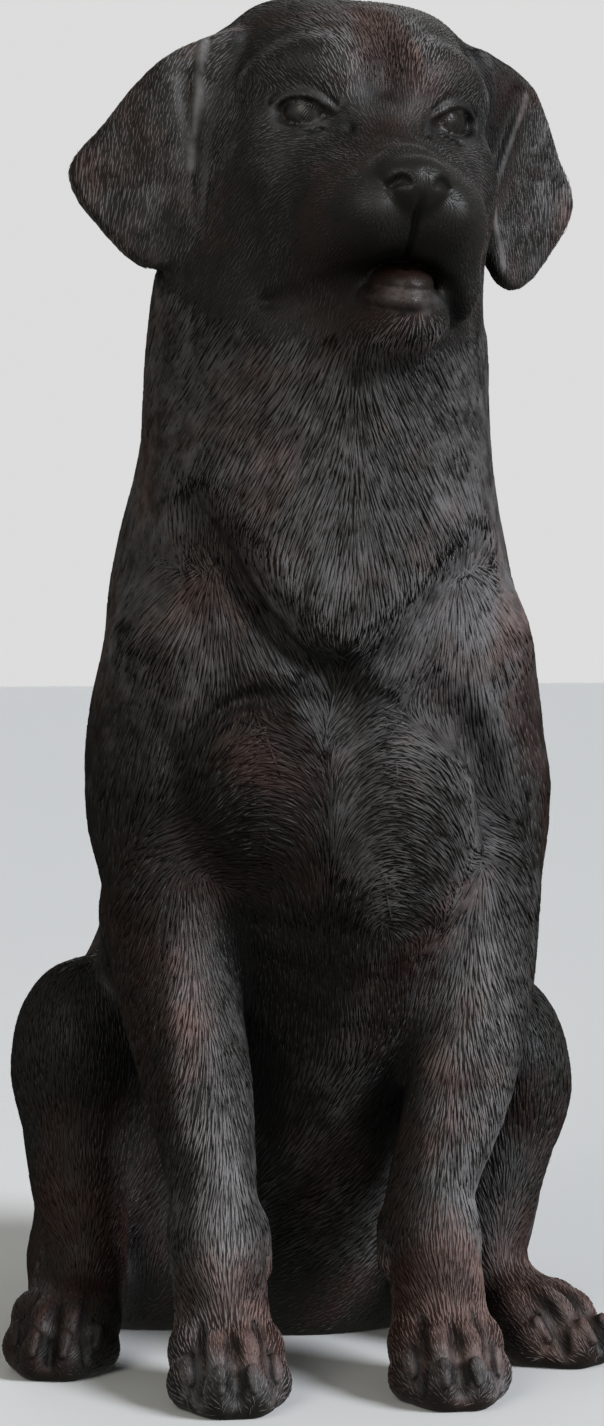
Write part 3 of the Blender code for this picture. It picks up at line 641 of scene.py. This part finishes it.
MIDDLE_GUIDES = (
    ((0, -11.5, 20), (0, 0, -1), 1.6),
    ((-2.2, -9, 17.5), (-0.15, 0.2, -1), 1.8),
    ((1.8, -9, 17.5), (0.2, 0.2, -1), 1.8),
    ((-1, -3.5, 12), (-0.5, 0, -1), 2.6),
    ((-1.5, -3, 5), (-1, 0, -0.55), 3),
    ((0, 5, 36), (0, 0.6, -1), 3),
    ((0, 9, 24), (0, 0.5, -1), 3),
    ((0, 14, 10), (0, 0.2, -1), 3),
)
HEAD_SIDE_GUIDES = (
    # in the frame of the head, mirrored in the same way
    ((1.4, -5.2, 3.6), (0.2, 0.4, 1), 1.4),
    ((3.4, -4.4, 3), (0.9, 0.4, 0.7), 1.2),
    ((2.5, 0, 5.6), (0.3, 1, 0), 2.4),
    ((2.4, -8.6, -3.4), (0.1, 1, -0.35), 1.6),
    ((4.6, -3, -2.6), (0.2, 1, -0.6), 2.2),
    ((4, -1.5, -6.5), (0.1, 0.7, -1), 2.4),
    ((5.6, 0, 3.4), (0.9, 0, -0.5), 1.5),
    ((8.2, -1.4, 0), (0.3, 0, -1), 2.4),
    ((9.4, -0.6, -4), (0.1, 0, -1), 2.4),
)
HEAD_MIDDLE_GUIDES = (
    ((0, -8.6, -0.6), (0, 1, 0.15), 1.3),
    ((0, -8.4, -9.2), (0, 1, -0.3), 1.6),
    ((6.9, -1.8, 0.5), (-0.5, 0, -1), 1.3),
)
NECK_ROWS = ((46, 0.3), (42, 0.4), (38, 0.5), (34.5, 0.35))  # height, how far the rows part
LEG_ROWS = (21.2, 17.2, 13.2, 9.4)  # heights
DOWN = np.array([0, 0.3, -1])
FAINT = 0.002  # weight of the hair that hangs down where no guide reaches
guides = []  # direction, one or one for each point, then place and reach


def lay(at, direction, reach):
    guides.append((np.array(direction, float), at, reach))


def fan(origin, at, reach):
    guides.append((place - np.array(origin, float), at, reach))


def arch(at, radius, reach):
    """Strokes that run level over the middle of a lobe and fall away on both sides of it."""
    across = (place[:, 0] - at[0]) / radius
    fall = -np.abs(across) * (1 + 0.12 * np.maximum(at[2] + 4 - place[:, 2], 0))
    guides.append((np.stack([np.sign(across), np.zeros(count), fall], axis=1), at, reach))


def head_lay(at, direction, reach):
    lay(tuple(head_frame @ Vector(at)), tuple(head_frame.to_3x3() @ Vector(direction)), reach)


def flat_on_skin(direction):
    """Directions laid flat on the skin, one unit long."""
    flat = direction - np.sum(direction * normal, axis=1)[:, None] * normal
    return flat / np.maximum(np.linalg.norm(flat, axis=1), 1e-6)[:, None]


for side in (-1, 1):
    for z, splay in NECK_ROWS:
        lay((0.7 + side * 1.3, -11, z), (side * splay, 0, -1), 1.4)
    for (x, y, z), (dx, dy, dz), reach in SIDE_GUIDES:
        lay((side * x, y, z), (side * dx, dy, dz), reach)
    fan((side * 4.8, -9.5, 34.8), (side * 5, -8.6, 31.2), 2.6)
    for z in LEG_ROWS:
        lower = LEG_ROWS[0] - z
        x = 6.4 - 0.14 * lower
        fan((side * x, -9.6 - 0.12 * lower, z + 2), (side * x, -9.6, z - 2), 1.7)
    for (x, y, z), (dx, dy, dz), reach in HEAD_SIDE_GUIDES:
        head_lay((side * x, y, z), (side * dx, dy, dz), reach)
arch((-3.2, -12, 24.5), 3, 2.4)
arch((2.2, -12, 25.5), 2.6, 2.2)
arch((2.2, -12, 21.5), 3, 1.8)
for guide in MIDDLE_GUIDES:
    lay(*guide)
for guide in HEAD_MIDDLE_GUIDES:
    head_lay(*guide)
for start, end in zip(TAIL, TAIL[1:]):
    lay(start, np.subtract(end, start), 1.6)

flat = flat_on_skin(DOWN)
mix = FAINT * flat[:, :, None] * flat[:, None, :]
for direction, at, reach in guides:
    flat = flat_on_skin(direction)
    weight = np.exp(-np.sum((place - np.array(at)) ** 2, axis=1) / (2 * reach**2))
    mix += weight[:, None, None] * flat[:, :, None] * flat[:, None, :]
comb = np.linalg.eigh(mix)[1][:, :, 2]
comb *= np.where(comb @ DOWN < 0, -1, 1)[:, None]
write("comb", comb)
print(len(guides), "guides mixed at", count, "points")

# %% [markdown]
# ## Long and short hair
# The coat is longest on the neck, the breast and the back, and short on the head and the paws. The eyes,
# the nose, the lips and the tongue are bare. Each of five parts becomes a piece of its own, so that no
# mesh grows too large.

# %% Long and short hair
local = (place - np.array(HEAD_AT)) @ np.array(head_frame.to_3x3())


def within(points, centre, radii):
    """How far inside an ellipsoid each point is: 1 in the middle, 0 on the shell and outside."""
    return np.clip(1 - np.sqrt((((points - centre) / radii) ** 2).sum(axis=1)), 0, 1)


def near_line(line, reach):
    """1 on a line through points of the head, 0 beyond its reach."""
    nearest = np.full(count, reach)
    for start, end in zip(line, line[1:]):
        step = end - start
        share = np.clip((local - start) @ step / (step @ step), 0, 1)
        nearest = np.minimum(nearest, np.linalg.norm(local - start - share[:, None] * step, axis=1))
    return ramp(1 - nearest / reach, 0, 0.6)


# the ear rims are painted lighter: partly the dry brush, partly a painted highlight where they catch the
# light
brushed_and_lit_rims = np.maximum(near_line(brushed_and_lit_rim_lines[0], 0.36), near_line(brushed_and_lit_rim_lines[1], 0.26))
# a dark line painted along the philtrum: painted shade in its crease, and no coat grows there
GROOVE_X = 0.05
groove_line = []
for z in (-4.4, -5, -5.6):
    around = (np.abs(local[:, 0] - GROOVE_X) < 0.3) & (np.abs(local[:, 2] - z) < 0.3)
    groove_line.append(np.array((GROOVE_X, local[around, 1].min() + 0.1, z)))
groove = 0.7 * near_line(groove_line, 0.24)
head_share = ramp(within(local, (0, -3.5, -0.5), (13, 11.5, 10.5)), 0, 0.12)
eyes = np.zeros(count)
for side in (-1, 1):
    eye = (side * (EYE_AT[0] + 0.15), EYE_AT[1] - 0.7, EYE_AT[2])
    eyes = np.maximum(eyes, within(local, eye, (1.9, 1.7, 1.15)))
nose = within(local, (0, -11.5, -3), (2.1, 2.1, 1.55))
mouth = within(local, (MOUTH_SHIFT, -9.6, -7), (2.3, 3.6, 1.5))
smooth_parts = [ramp(part, 0, 0.15) for part in (eyes, nose, mouth)]
bare = np.max(smooth_parts + [ramp(brushed_and_lit_rims + groove, 0.2, 0.6)], axis=0)
x, y, z = place.T
coat = (1 - bare) * ramp(z, 0.15, 0.8)
is_head = head_share > 0.5
is_front = ~is_head & (y < -5) & (z > 20)
is_low = ~is_head & ~is_front & ((y < 1) | (z < 15)) & (z < 22)
is_foreleg = is_low & (y < -7 + 0.8 * np.maximum(np.abs(x) - 8, 0))
parts = {
    "head": is_head, "breast": is_front, "foreleg": is_foreleg, "haunch": is_low & ~is_foreleg,
    "back": ~is_head & ~is_front & ~is_low,
}
for name, mask in parts.items():
    write("coat_" + name, coat * mask)
forehead = within(local, (0, -4, 4), (4.5, 5, 4))
muzzle = within(local, (0, -10.5, -5.5), (5.5, 5, 6))
size = 1 - head_share * (0.55 - 0.3 * ramp(local[:, 1], 0, 4))
size += 0.35 * ramp(forehead, 0, 0.5)
size *= 1 - 0.6 * (1 - ramp(z, 2, 5))
size *= 1 - 0.6 * sharp
size *= 1 - 0.4 * ramp(muzzle, 0, 0.4)
LOCK_REACH = 0.4  # how far along the comb the skin is looked for, both ways
ALLOWED_GAP = 0.03  # between that point and the skin, for locks of 0.6 of their size
overhang = np.maximum(clay.sample(place + comb * LOCK_REACH), clay.sample(place - comb * LOCK_REACH))
size = np.minimum(size, 0.6 * np.sqrt(ALLOWED_GAP / np.maximum(overhang, 0.001)))
write("lock_size", size)
varnished = [0.8 * ramp(eyes, 0.2, 0.45), 0.4 * ramp(nose, 0, 0.3), 0.35 * ramp(mouth, 0.1, 0.4)]
write("gloss", np.max(varnished, axis=0))
print({name: int(mask.sum()) for name, mask in parts.items()}, "points of the skin")

# %% [markdown]
# ## Where the brush and the painted light went
# The grey brush went heavily over the forelegs, the paws and the brows, and hardly over the dog's right
# side. The same dabs paint light and shade as well: painted highlights on the fronts of the forelegs, the
# chin, a lid and the ears, and painted shade over the dog's right side. Rust was dabbed on the forehead,
# the breast, the legs and the feet.

# %% Where the brush and the painted light went
BODY_BRUSH_AND_LIGHT = (
    # centre, radii, how much more or less than elsewhere
    # the lighter leg fronts are partly painted highlights, and the darker dog's right side partly painted
    # shade
    ((-6.2, -12, 16), (1.6, 4, 7), 0.7),
    ((-5.2, -13, 9), (1.6, 4, 6), 0.9),
    ((-9, -9.5, 14), (2.6, 5, 12), -0.7),
    ((6.2, -11.5, 12), (3, 4.5, 15), 0.7),
    ((2.6, -11, 12), (1.6, 4, 9), -0.6),
    ((6.5, -8.5, 33), (4, 5, 5), 0.5),
    ((10, -4, 12), (3.5, 8, 10), -0.4),
    ((-3.8, -11.5, 25.5), (4, 5, 5.5), -1),
    ((9, -6, 26), (3, 6, 8), -0.35),
    ((0, -4, 10), (5, 5, 9), -0.1),
    ((-1.8, -11, 19), (4, 6, 8), -0.6),
    ((-9, -4, 24), (3.5, 8, 8), -0.4),
    ((-11, 0, 8), (5, 12, 12), -1),
    ((-7, -9, 24), (3, 5, 7), -0.3),
    ((-12, -9, 2), (3.5, 5, 3), -0.5),
    ((5, -14.5, 1.5), (4, 4.5, 3.5), 1.5),
    ((-5, -14.5, 1.5), (4, 4.5, 3.5), 1.1),
    ((9.5, -9, 2), (3.5, 4.5, 3.5), 0.8),
    ((4.5, -10, 34), (3, 5, 3), 0.3),
)
HEAD_BRUSH_AND_LIGHT = (
    # the lighter lids, chin, lower lip and ears are partly painted highlights
    ((-3.5, -5.5, -3.5), (4.5, 5.5, 5), -0.1),
    ((0, -4, 4.5), (4.5, 4, 3), 0.3),
    ((0, -10.5, -4.5), (3.8, 3.5, 3), -0.6),
    ((-3.2, -5.6, 0.4), (2.2, 2, 1.6), 0.5),
    ((0.6, -8.5, -9.2), (2.2, 2.6, 1.6), 1.5),
    ((-1.9, -5.8, 2.2), (1.3, 2.5, 2.2), 0.8),
    ((1.9, -5.8, 2.2), (1.3, 2.5, 2.2), 0.7),
    ((10.5, -2, -2.5), (4, 4, 6), 0.4),
    ((7, -2, 0.5), (1.6, 3, 4.5), -0.6),
    ((-6.9, -2, 0), (1.6, 3, 5.5), 0.5),
    ((0.5, -9.2, -7.1), (1.8, 2.4, 1.3), 0.3),
)
BODY_RUSTY = (
    ((-5.2, -10.2, 33), (2.6, 4, 2.6), 0.5),
    ((-3.4, -12, 27.6), (3.4, 4, 3), 0.5),
    ((-12, -3, 4), (4, 9, 5), 0.8),
    ((5, -13, 3), (4, 5.5, 5), 0.9),
    ((-5, -13, 3), (4, 5.5, 4.6), 0.9),
    ((6, -10, 16), (4, 5, 10), 0.2),
    ((-7, -8, 18), (4, 5, 10), 0.4),
    ((8.5, -8, 31), (3, 5, 4), 0.4),
    ((10, -8, 3), (4, 6, 4), 0.8),
)
HEAD_RUSTY = (
    ((0.4, -5, 3.8), (1.7, 4, 3.4), 0.9),
    ((-9.6, -2, -2.6), (4, 4, 4), 0.5),
    ((7, -2, 0.5), (2, 3, 4.5), 0.6),
    ((0.4, -8.6, -6.4), (1.4, 2.4, 1), 0.4),
)


def dabs(points, table):
    """The sum of soft ellipsoidal dabs at every point of the skin."""
    return sum(amount * ramp(within(points, centre, radii), 0, 0.5) for centre, radii, amount in table)


# the brush amount, with painted highlights and painted shade in it
extra_brush_and_light = dabs(place, BODY_BRUSH_AND_LIGHT) + dabs(local, HEAD_BRUSH_AND_LIGHT)
write("brushed", np.clip(1 + extra_brush_and_light + 1.3 * brushed_and_lit_rims, 0, 3.5))
write("rusty", dabs(place, BODY_RUSTY) + dabs(local, HEAD_RUSTY))
eyeballs = 0.8 * ramp(eyes, 0.3, 0.5)
ear_strip = 0.6 * ramp(within(local, (-6.9, -2, 0), (2, 3, 6)), 0, 0.4)
kept_light = np.max([eyeballs, 0.8 * ramp(mouth, 0.1, 0.4), ear_strip], axis=0)
write("raised", np.max([raised, eyeballs, brushed_and_lit_rims], axis=0))
# painted shade: darker in the hollows and along the philtrum, kept lighter in the eyes, the mouth and the ear
# strip
write("hollow", np.maximum(ramp(hollow, 0.02, 0.45) * (1 - kept_light), groove))
print("brushed by", round(float(np.mean(1 + extra_brush_and_light)), 2), "on average")

# %% [markdown]
# ## A lock of hair
# A lock is a long low ridge, thin at both ends. It is repeated tens of thousands of times, so it has
# only eight faces. Its crest is marked, for the paint to find.

# %% A lock of hair
lock_mesh = bpy.data.meshes.new("lock")
ends_and_sides = [(-0.5, 0, -0.25), (0.5, 0, -0.15), (0.02, -0.5, -0.45), (0.02, 0.5, -0.45)]
crest_ends = [(-0.16, 0, 0.9), (0.26, 0, 0.8)]
lock_faces = [(0, 2, 4), (4, 2, 5), (5, 2, 1), (0, 4, 3), (4, 5, 3), (5, 1, 3), (0, 3, 2), (1, 2, 3)]
lock_mesh.from_pydata(ends_and_sides + crest_ends, [], lock_faces)
crest = lock_mesh.attributes.new("ridge", "FLOAT", "POINT")
crest.data.foreach_set("value", [0.2, 0.3, 0, 0, 1, 1])
lock = new_object("lock", lock_mesh)
print("a lock has", len(lock_mesh.polygons), "faces")

# %% [markdown]
# ## The coat as a Geometry Nodes tree
# Combed clay is one stroke repeated. Points are strewn evenly over the skin, and a lock lies on each,
# along the comb. Small random turns keep the rows from looking ruled. One tree serves all five parts.

# %% The coat tree
def add(tree, kind, settings=()):
    """Adds a node. Its kind is given in full, or without the ShaderNode that most kinds start with.

    A setting is a property, an input's value or what feeds an input: an output, or a node for its first."""
    node = tree.nodes.new(kind if "Node" in kind else "ShaderNode" + kind)
    for key, value in dict(settings).items():
        if isinstance(key, str) and hasattr(node, key):
            setattr(node, key, value)
        elif isinstance(value, bpy.types.Node):
            tree.links.new(value.outputs[0], node.inputs[key])
        elif isinstance(value, bpy.types.NodeSocket):
            tree.links.new(value, node.inputs[key])
        else:
            node.inputs[key].default_value = value
    return node


tree = bpy.data.node_groups.new("coat_of_locks", "GeometryNodeTree")
tree.is_modifier = True
sockets = {
    "Skin": "Geometry", "Lock": "Object", "Growth": "String", "Spacing": "Float", "Length": "Float",
    "Width": "Float", "Height": "Float", "Stray": "Float", "Seed": "Int", "Paint": "Material",
}
for name, kind in sockets.items():
    tree.interface.new_socket(name=name, in_out="INPUT", socket_type="NodeSocket" + kind)
tree.interface.new_socket(name="Coat", in_out="OUTPUT", socket_type="NodeSocketGeometry")
given = add(tree, "NodeGroupInput").outputs
growth = add(tree, "GeometryNodeInputNamedAttribute", {"Name": given["Growth"]})
strewn = add(tree, "GeometryNodeDistributePointsOnFaces", {
    "distribute_method": "POISSON", "Density Max": 900000, "Mesh": given["Skin"],
    "Distance Min": given["Spacing"], "Density Factor": growth, "Seed": given["Seed"],
})
combed = add(tree, "GeometryNodeInputNamedAttribute", {"data_type": "FLOAT_VECTOR", "Name": "comb"})
small = add(tree, "GeometryNodeInputNamedAttribute", {"Name": "lock_size"})
stand = add(tree, "FunctionNodeAxesToRotation", {
    "Primary Axis": strewn.outputs["Normal"], "Secondary Axis": combed,
})
least = add(tree, "Math", {"operation": "MULTIPLY", 1: -1, 0: given["Stray"]})
turn = add(tree, "FunctionNodeRandomValue", {"Seed": 3, 2: least, 3: given["Stray"]})
turn_z = add(tree, "CombineXYZ", {"Z": turn.outputs[1]})
laid = add(tree, "FunctionNodeRotateRotation", {
    "rotation_space": "LOCAL", "Rotation": stand, "Rotate By": turn_z,
})
vary = add(tree, "FunctionNodeRandomValue", {
    "data_type": "FLOAT_VECTOR", "Seed": 5, 0: (0.6, 0.65, 0.5), 1: (1.4, 1.4, 1.6),
})
sizes = add(tree, "CombineXYZ", {"X": given["Length"], "Y": given["Width"], "Z": given["Height"]})
varied = add(tree, "VectorMath", {"operation": "MULTIPLY", 0: vary, 1: sizes})
scaled = add(tree, "VectorMath", {"operation": "SCALE", 0: varied, "Scale": small})
lock_shape = add(tree, "GeometryNodeObjectInfo", {"Object": given["Lock"]})
set_down = add(tree, "GeometryNodeInstanceOnPoints", {
    "Points": strewn, "Instance": lock_shape.outputs["Geometry"], "Rotation": laid, "Scale": scaled,
})
real = add(tree, "GeometryNodeRealizeInstances", {"Geometry": set_down})
in_paint = add(tree, "GeometryNodeSetMaterial", {"Geometry": real, "Material": given["Paint"]})
add(tree, "NodeGroupOutput", {"Coat": in_paint})
print("coat tree of", len(tree.nodes), "nodes")

# %% [markdown]
# ## Bronzed resin
# The cast is painted a black brown, dabbed with rusty brown and then dry-brushed: a nearly dry brush
# with grey paint is dragged over the coat, so only the crests take it. The hollows are darkened as painted
# shade. The paint is satin, so the sheen is broad, and the eyes, the nose and the mouth are varnished. The
# tones are given as sRGB values.

# %% Bronzed resin
def tone(code):
    """An sRGB hex value as linear numbers."""
    shares = [int(code[i:i + 2], 16) / 255 for i in (1, 3, 5)]
    return (*[s / 12.92 if s <= 0.04045 else ((s + 0.055) / 1.055) ** 2.4 for s in shares], 1)


def mixed(share, first, second):
    """One colour laid over another."""
    return add(paint, "Mix", {"data_type": "RGBA", 0: share, 6: first, 7: second}).outputs[2]


PATCH = 0.055  # metres across a patch of rusty paint
SMEAR = 0.012  # metres across a stroke of the dry brush
GRAIN = 0.0006  # metres between the grains of the filler
COMB_LINE = 0.0013  # metres between the finest lines of the comb

resin = bpy.data.materials.new("bronzed_resin_dry_brushed")
resin.use_nodes = True
paint = resin.node_tree
paint.nodes.clear()
where = add(paint, "TexCoord").outputs["Object"]
read = {
    name: add(paint, "Attribute", {"attribute_name": name}).outputs["Fac"]
    for name in ("hollow", "raised", "ridge", "gloss", "brushed", "rusty")
}
comb_line = add(paint, "Attribute", {"attribute_name": "comb"}).outputs["Vector"]
patch = add(paint, "TexNoise", {"Scale": 1 / PATCH, "Detail": 4, "Roughness": 0.6, "Vector": where})
dabbed = add(paint, "Math", {"operation": "MULTIPLY_ADD", 1: 0.25, 0: read["rusty"], 2: patch})
patch_edge = add(paint, "MapRange", {"From Min": 0.5, "From Max": 0.7, "Value": dabbed})
smear = add(paint, "TexNoise", {"Scale": 1 / SMEAR, "Detail": 3, "Roughness": 0.65, "Vector": where})
grain = add(paint, "TexNoise", {"Scale": 1 / GRAIN, "Detail": 1, "Vector": where})
ground_coat = mixed(patch_edge, tone("#1d1a16"), tone("#301c16"))
stands_out = add(paint, "Math", {"operation": "MULTIPLY_ADD", 1: 0.6, 0: read["raised"], 2: read["ridge"]})
brushed = add(paint, "Math", {"operation": "MULTIPLY", 0: stands_out, 1: smear})
# the brush amount carries painted highlights and painted shade as well as the dry brush
pressed = add(paint, "Math", {"operation": "MULTIPLY", 0: brushed, 1: read["brushed"]})
brush_cover = add(paint, "MapRange", {"From Min": 0.28, "From Max": 1, "To Max": 0.95, "Value": pressed})
brush_tone = mixed(patch_edge, tone("#8a8687"), tone("#88706a"))
dry_brushed = mixed(brush_cover, ground_coat, brush_tone)
# painted shade: the hollows are mixed towards a near black
shade = add(paint, "MapRange", {"To Max": 0.85, "Value": read["hollow"]})
in_hollows = mixed(shade, dry_brushed, tone("#0d0b0b"))
sheen = add(paint, "MapRange", {
    "From Min": 0.3, "From Max": 0.7, "To Min": 0.48, "To Max": 0.64, "Value": smear,
})
varnish = add(paint, "Mix", {3: 0.24, 0: read["gloss"], 2: sheen})
facing = add(paint, "NewGeometry")
across_comb = add(paint, "VectorMath", {
    "operation": "CROSS_PRODUCT", 0: comb_line, 1: facing.outputs["Normal"],
})
fine_lines = add(paint, "TexGabor", {
    "gabor_type": "3D", "Scale": 1 / (COMB_LINE * 5), "Frequency": 5, "Anisotropy": 1, "Vector": where,
    "Orientation": across_comb,
})
fine_bump = add(paint, "Bump", {"Strength": 0.5, "Distance": 0.0006, "Height": fine_lines})
grain_bump = add(paint, "Bump", {"Strength": 0.25, "Distance": 0.0002, "Height": grain, "Normal": fine_bump})
shader = add(paint, "BsdfPrincipled", {
    "Specular IOR Level": 0.4, "Base Color": in_hollows, "Roughness": varnish,
    "Normal": grain_bump,
})
add(paint, "OutputMaterial", {"Surface": shader})
dog.data.materials.clear()
dog.data.materials.append(resin)
print("paint of", len(paint.nodes), "nodes")

# %% [markdown]
# ## Combing the coat
# The tree is run five times. A modifier's inputs are set by the identifiers of their sockets. Each
# result is turned into a plain mesh, so that the export finds real faces.

# %% Combing the coat
COATS = (
    # part, millimetres between locks, and their length, width and height, and how far they stray
    ("head", 1.4, 12, 1.5, 0.5, 0.12),
    ("breast", 1.75, 21, 1.9, 0.95, 0.07),
    ("foreleg", 1.7, 15, 1.4, 0.6, 0.09),
    ("haunch", 1.9, 14, 1.6, 0.6, 0.10),
    ("back", 1.9, 17, 1.8, 0.65, 0.10),
)
LOOSE = 1
identifiers = {
    item.name: item.identifier for item in tree.interface.items_tree
    if item.item_type == "SOCKET" and item.in_out == "INPUT"
}
coats = []
for seed, (part, spacing, length, width, height, stray) in enumerate(COATS):
    skin = new_object("skin_under_" + part, dog.data.copy())
    combing = skin.modifiers.new("coat", "NODES")
    combing.node_group = tree
    values = {
        "Lock": lock, "Growth": "coat_" + part, "Spacing": spacing * LOOSE / 1000, "Length": length / 1000,
        "Width": width / 1000, "Height": height / 1000, "Stray": stray, "Seed": seed, "Paint": resin,
    }
    for name, value in values.items():
        combing[identifiers[name]] = value
    piece = made_plain(skin, part + "_coat")
    tips = read_points(piece.data, "co")
    tips[:, 2] = np.maximum(tips[:, 2], 0)  # the coat ends at the ground
    piece.data.vertices.foreach_set("co", tips.ravel())
    piece.data.shade_smooth()
    coats.append(piece)
    print(piece.name, "has", len(piece.data.polygons) // len(lock_faces), "locks")
bpy.data.objects.remove(lock)

# %% [markdown]
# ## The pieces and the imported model
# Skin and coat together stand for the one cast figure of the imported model.

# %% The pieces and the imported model
for piece in [dog] + coats:
    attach(piece, "root")
    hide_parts("dog_figure")
print("faces in all", sum(len(piece.data.polygons) for piece in [dog] + coats))

# %% [markdown]
# ## The studio
# One broad cool lamp lights the figure from the right, a weak warm one fills the shade, and a faint one
# stands behind. The room is dim, yet the camera sees a pale backdrop: the world is bright for its rays.

# %% The studio
FLOOR = 6.0  # metres from the middle to each edge
floor_mesh = bpy.data.meshes.new("floor")
corners = [(x * FLOOR, y * FLOOR, 0) for x, y in ((-1, -1), (1, -1), (1, 1), (-1, 1))]
floor_mesh.from_pydata(corners, [], [(0, 1, 2, 3)])
floor = new_object("floor", floor_mesh)
floor.visible_diffuse = False  # it throws no light up at the figure
floor.visible_glossy = False
paper = bpy.data.materials.new("studio_paper")
paper.use_nodes = True
matte = paper.node_tree.nodes["Principled BSDF"].inputs
matte["Base Color"].default_value = tone("#f2f2f2")
matte["Roughness"].default_value = 0.9
floor_mesh.materials.append(paper)

world = bpy.data.worlds.new("studio")
scene.world = world
world.use_nodes = True
room = world.node_tree
room.nodes.clear()
dim = add(room, "Background", {"Color": (0.95, 0.97, 0.94, 1), "Strength": 0.16})
backdrop = add(room, "Background", {"Color": (1, 1, 1, 1), "Strength": 0.72})
ray = add(room, "LightPath")
seen = add(room, "MixShader", {0: ray, 1: dim, 2: backdrop})
add(room, "OutputWorld", {"Surface": seen})

LIT_POINT = Vector((0, 0, 0.32))
LAMPS = (
    # name, kind, place, width (an angle for a sun), strength, colour
    ("key", "SUN", (1.7, -1.5, 1.6), math.radians(20), 2.95, (0.91, 0.95, 1.0)),
    ("fill", "AREA", (-1.1, -1.6, 1.3), 1.0, 10.5, (1.0, 0.98, 0.88)),
    ("back", "SUN", (0.3, 2.2, 1.4), math.radians(40), 0.5, (1.0, 0.98, 0.95)),
)
for name, kind, at, width, power, colour in LAMPS:
    lamp = bpy.data.lights.new(name, kind)
    setattr(lamp, "angle" if kind == "SUN" else "size", width)
    lamp.energy = power
    lamp.color = colour
    aimed(new_object(name, lamp), Vector(at), LIT_POINT)
scene.view_settings.view_transform = "Standard"
print(len(LAMPS), "lamps round the figure")
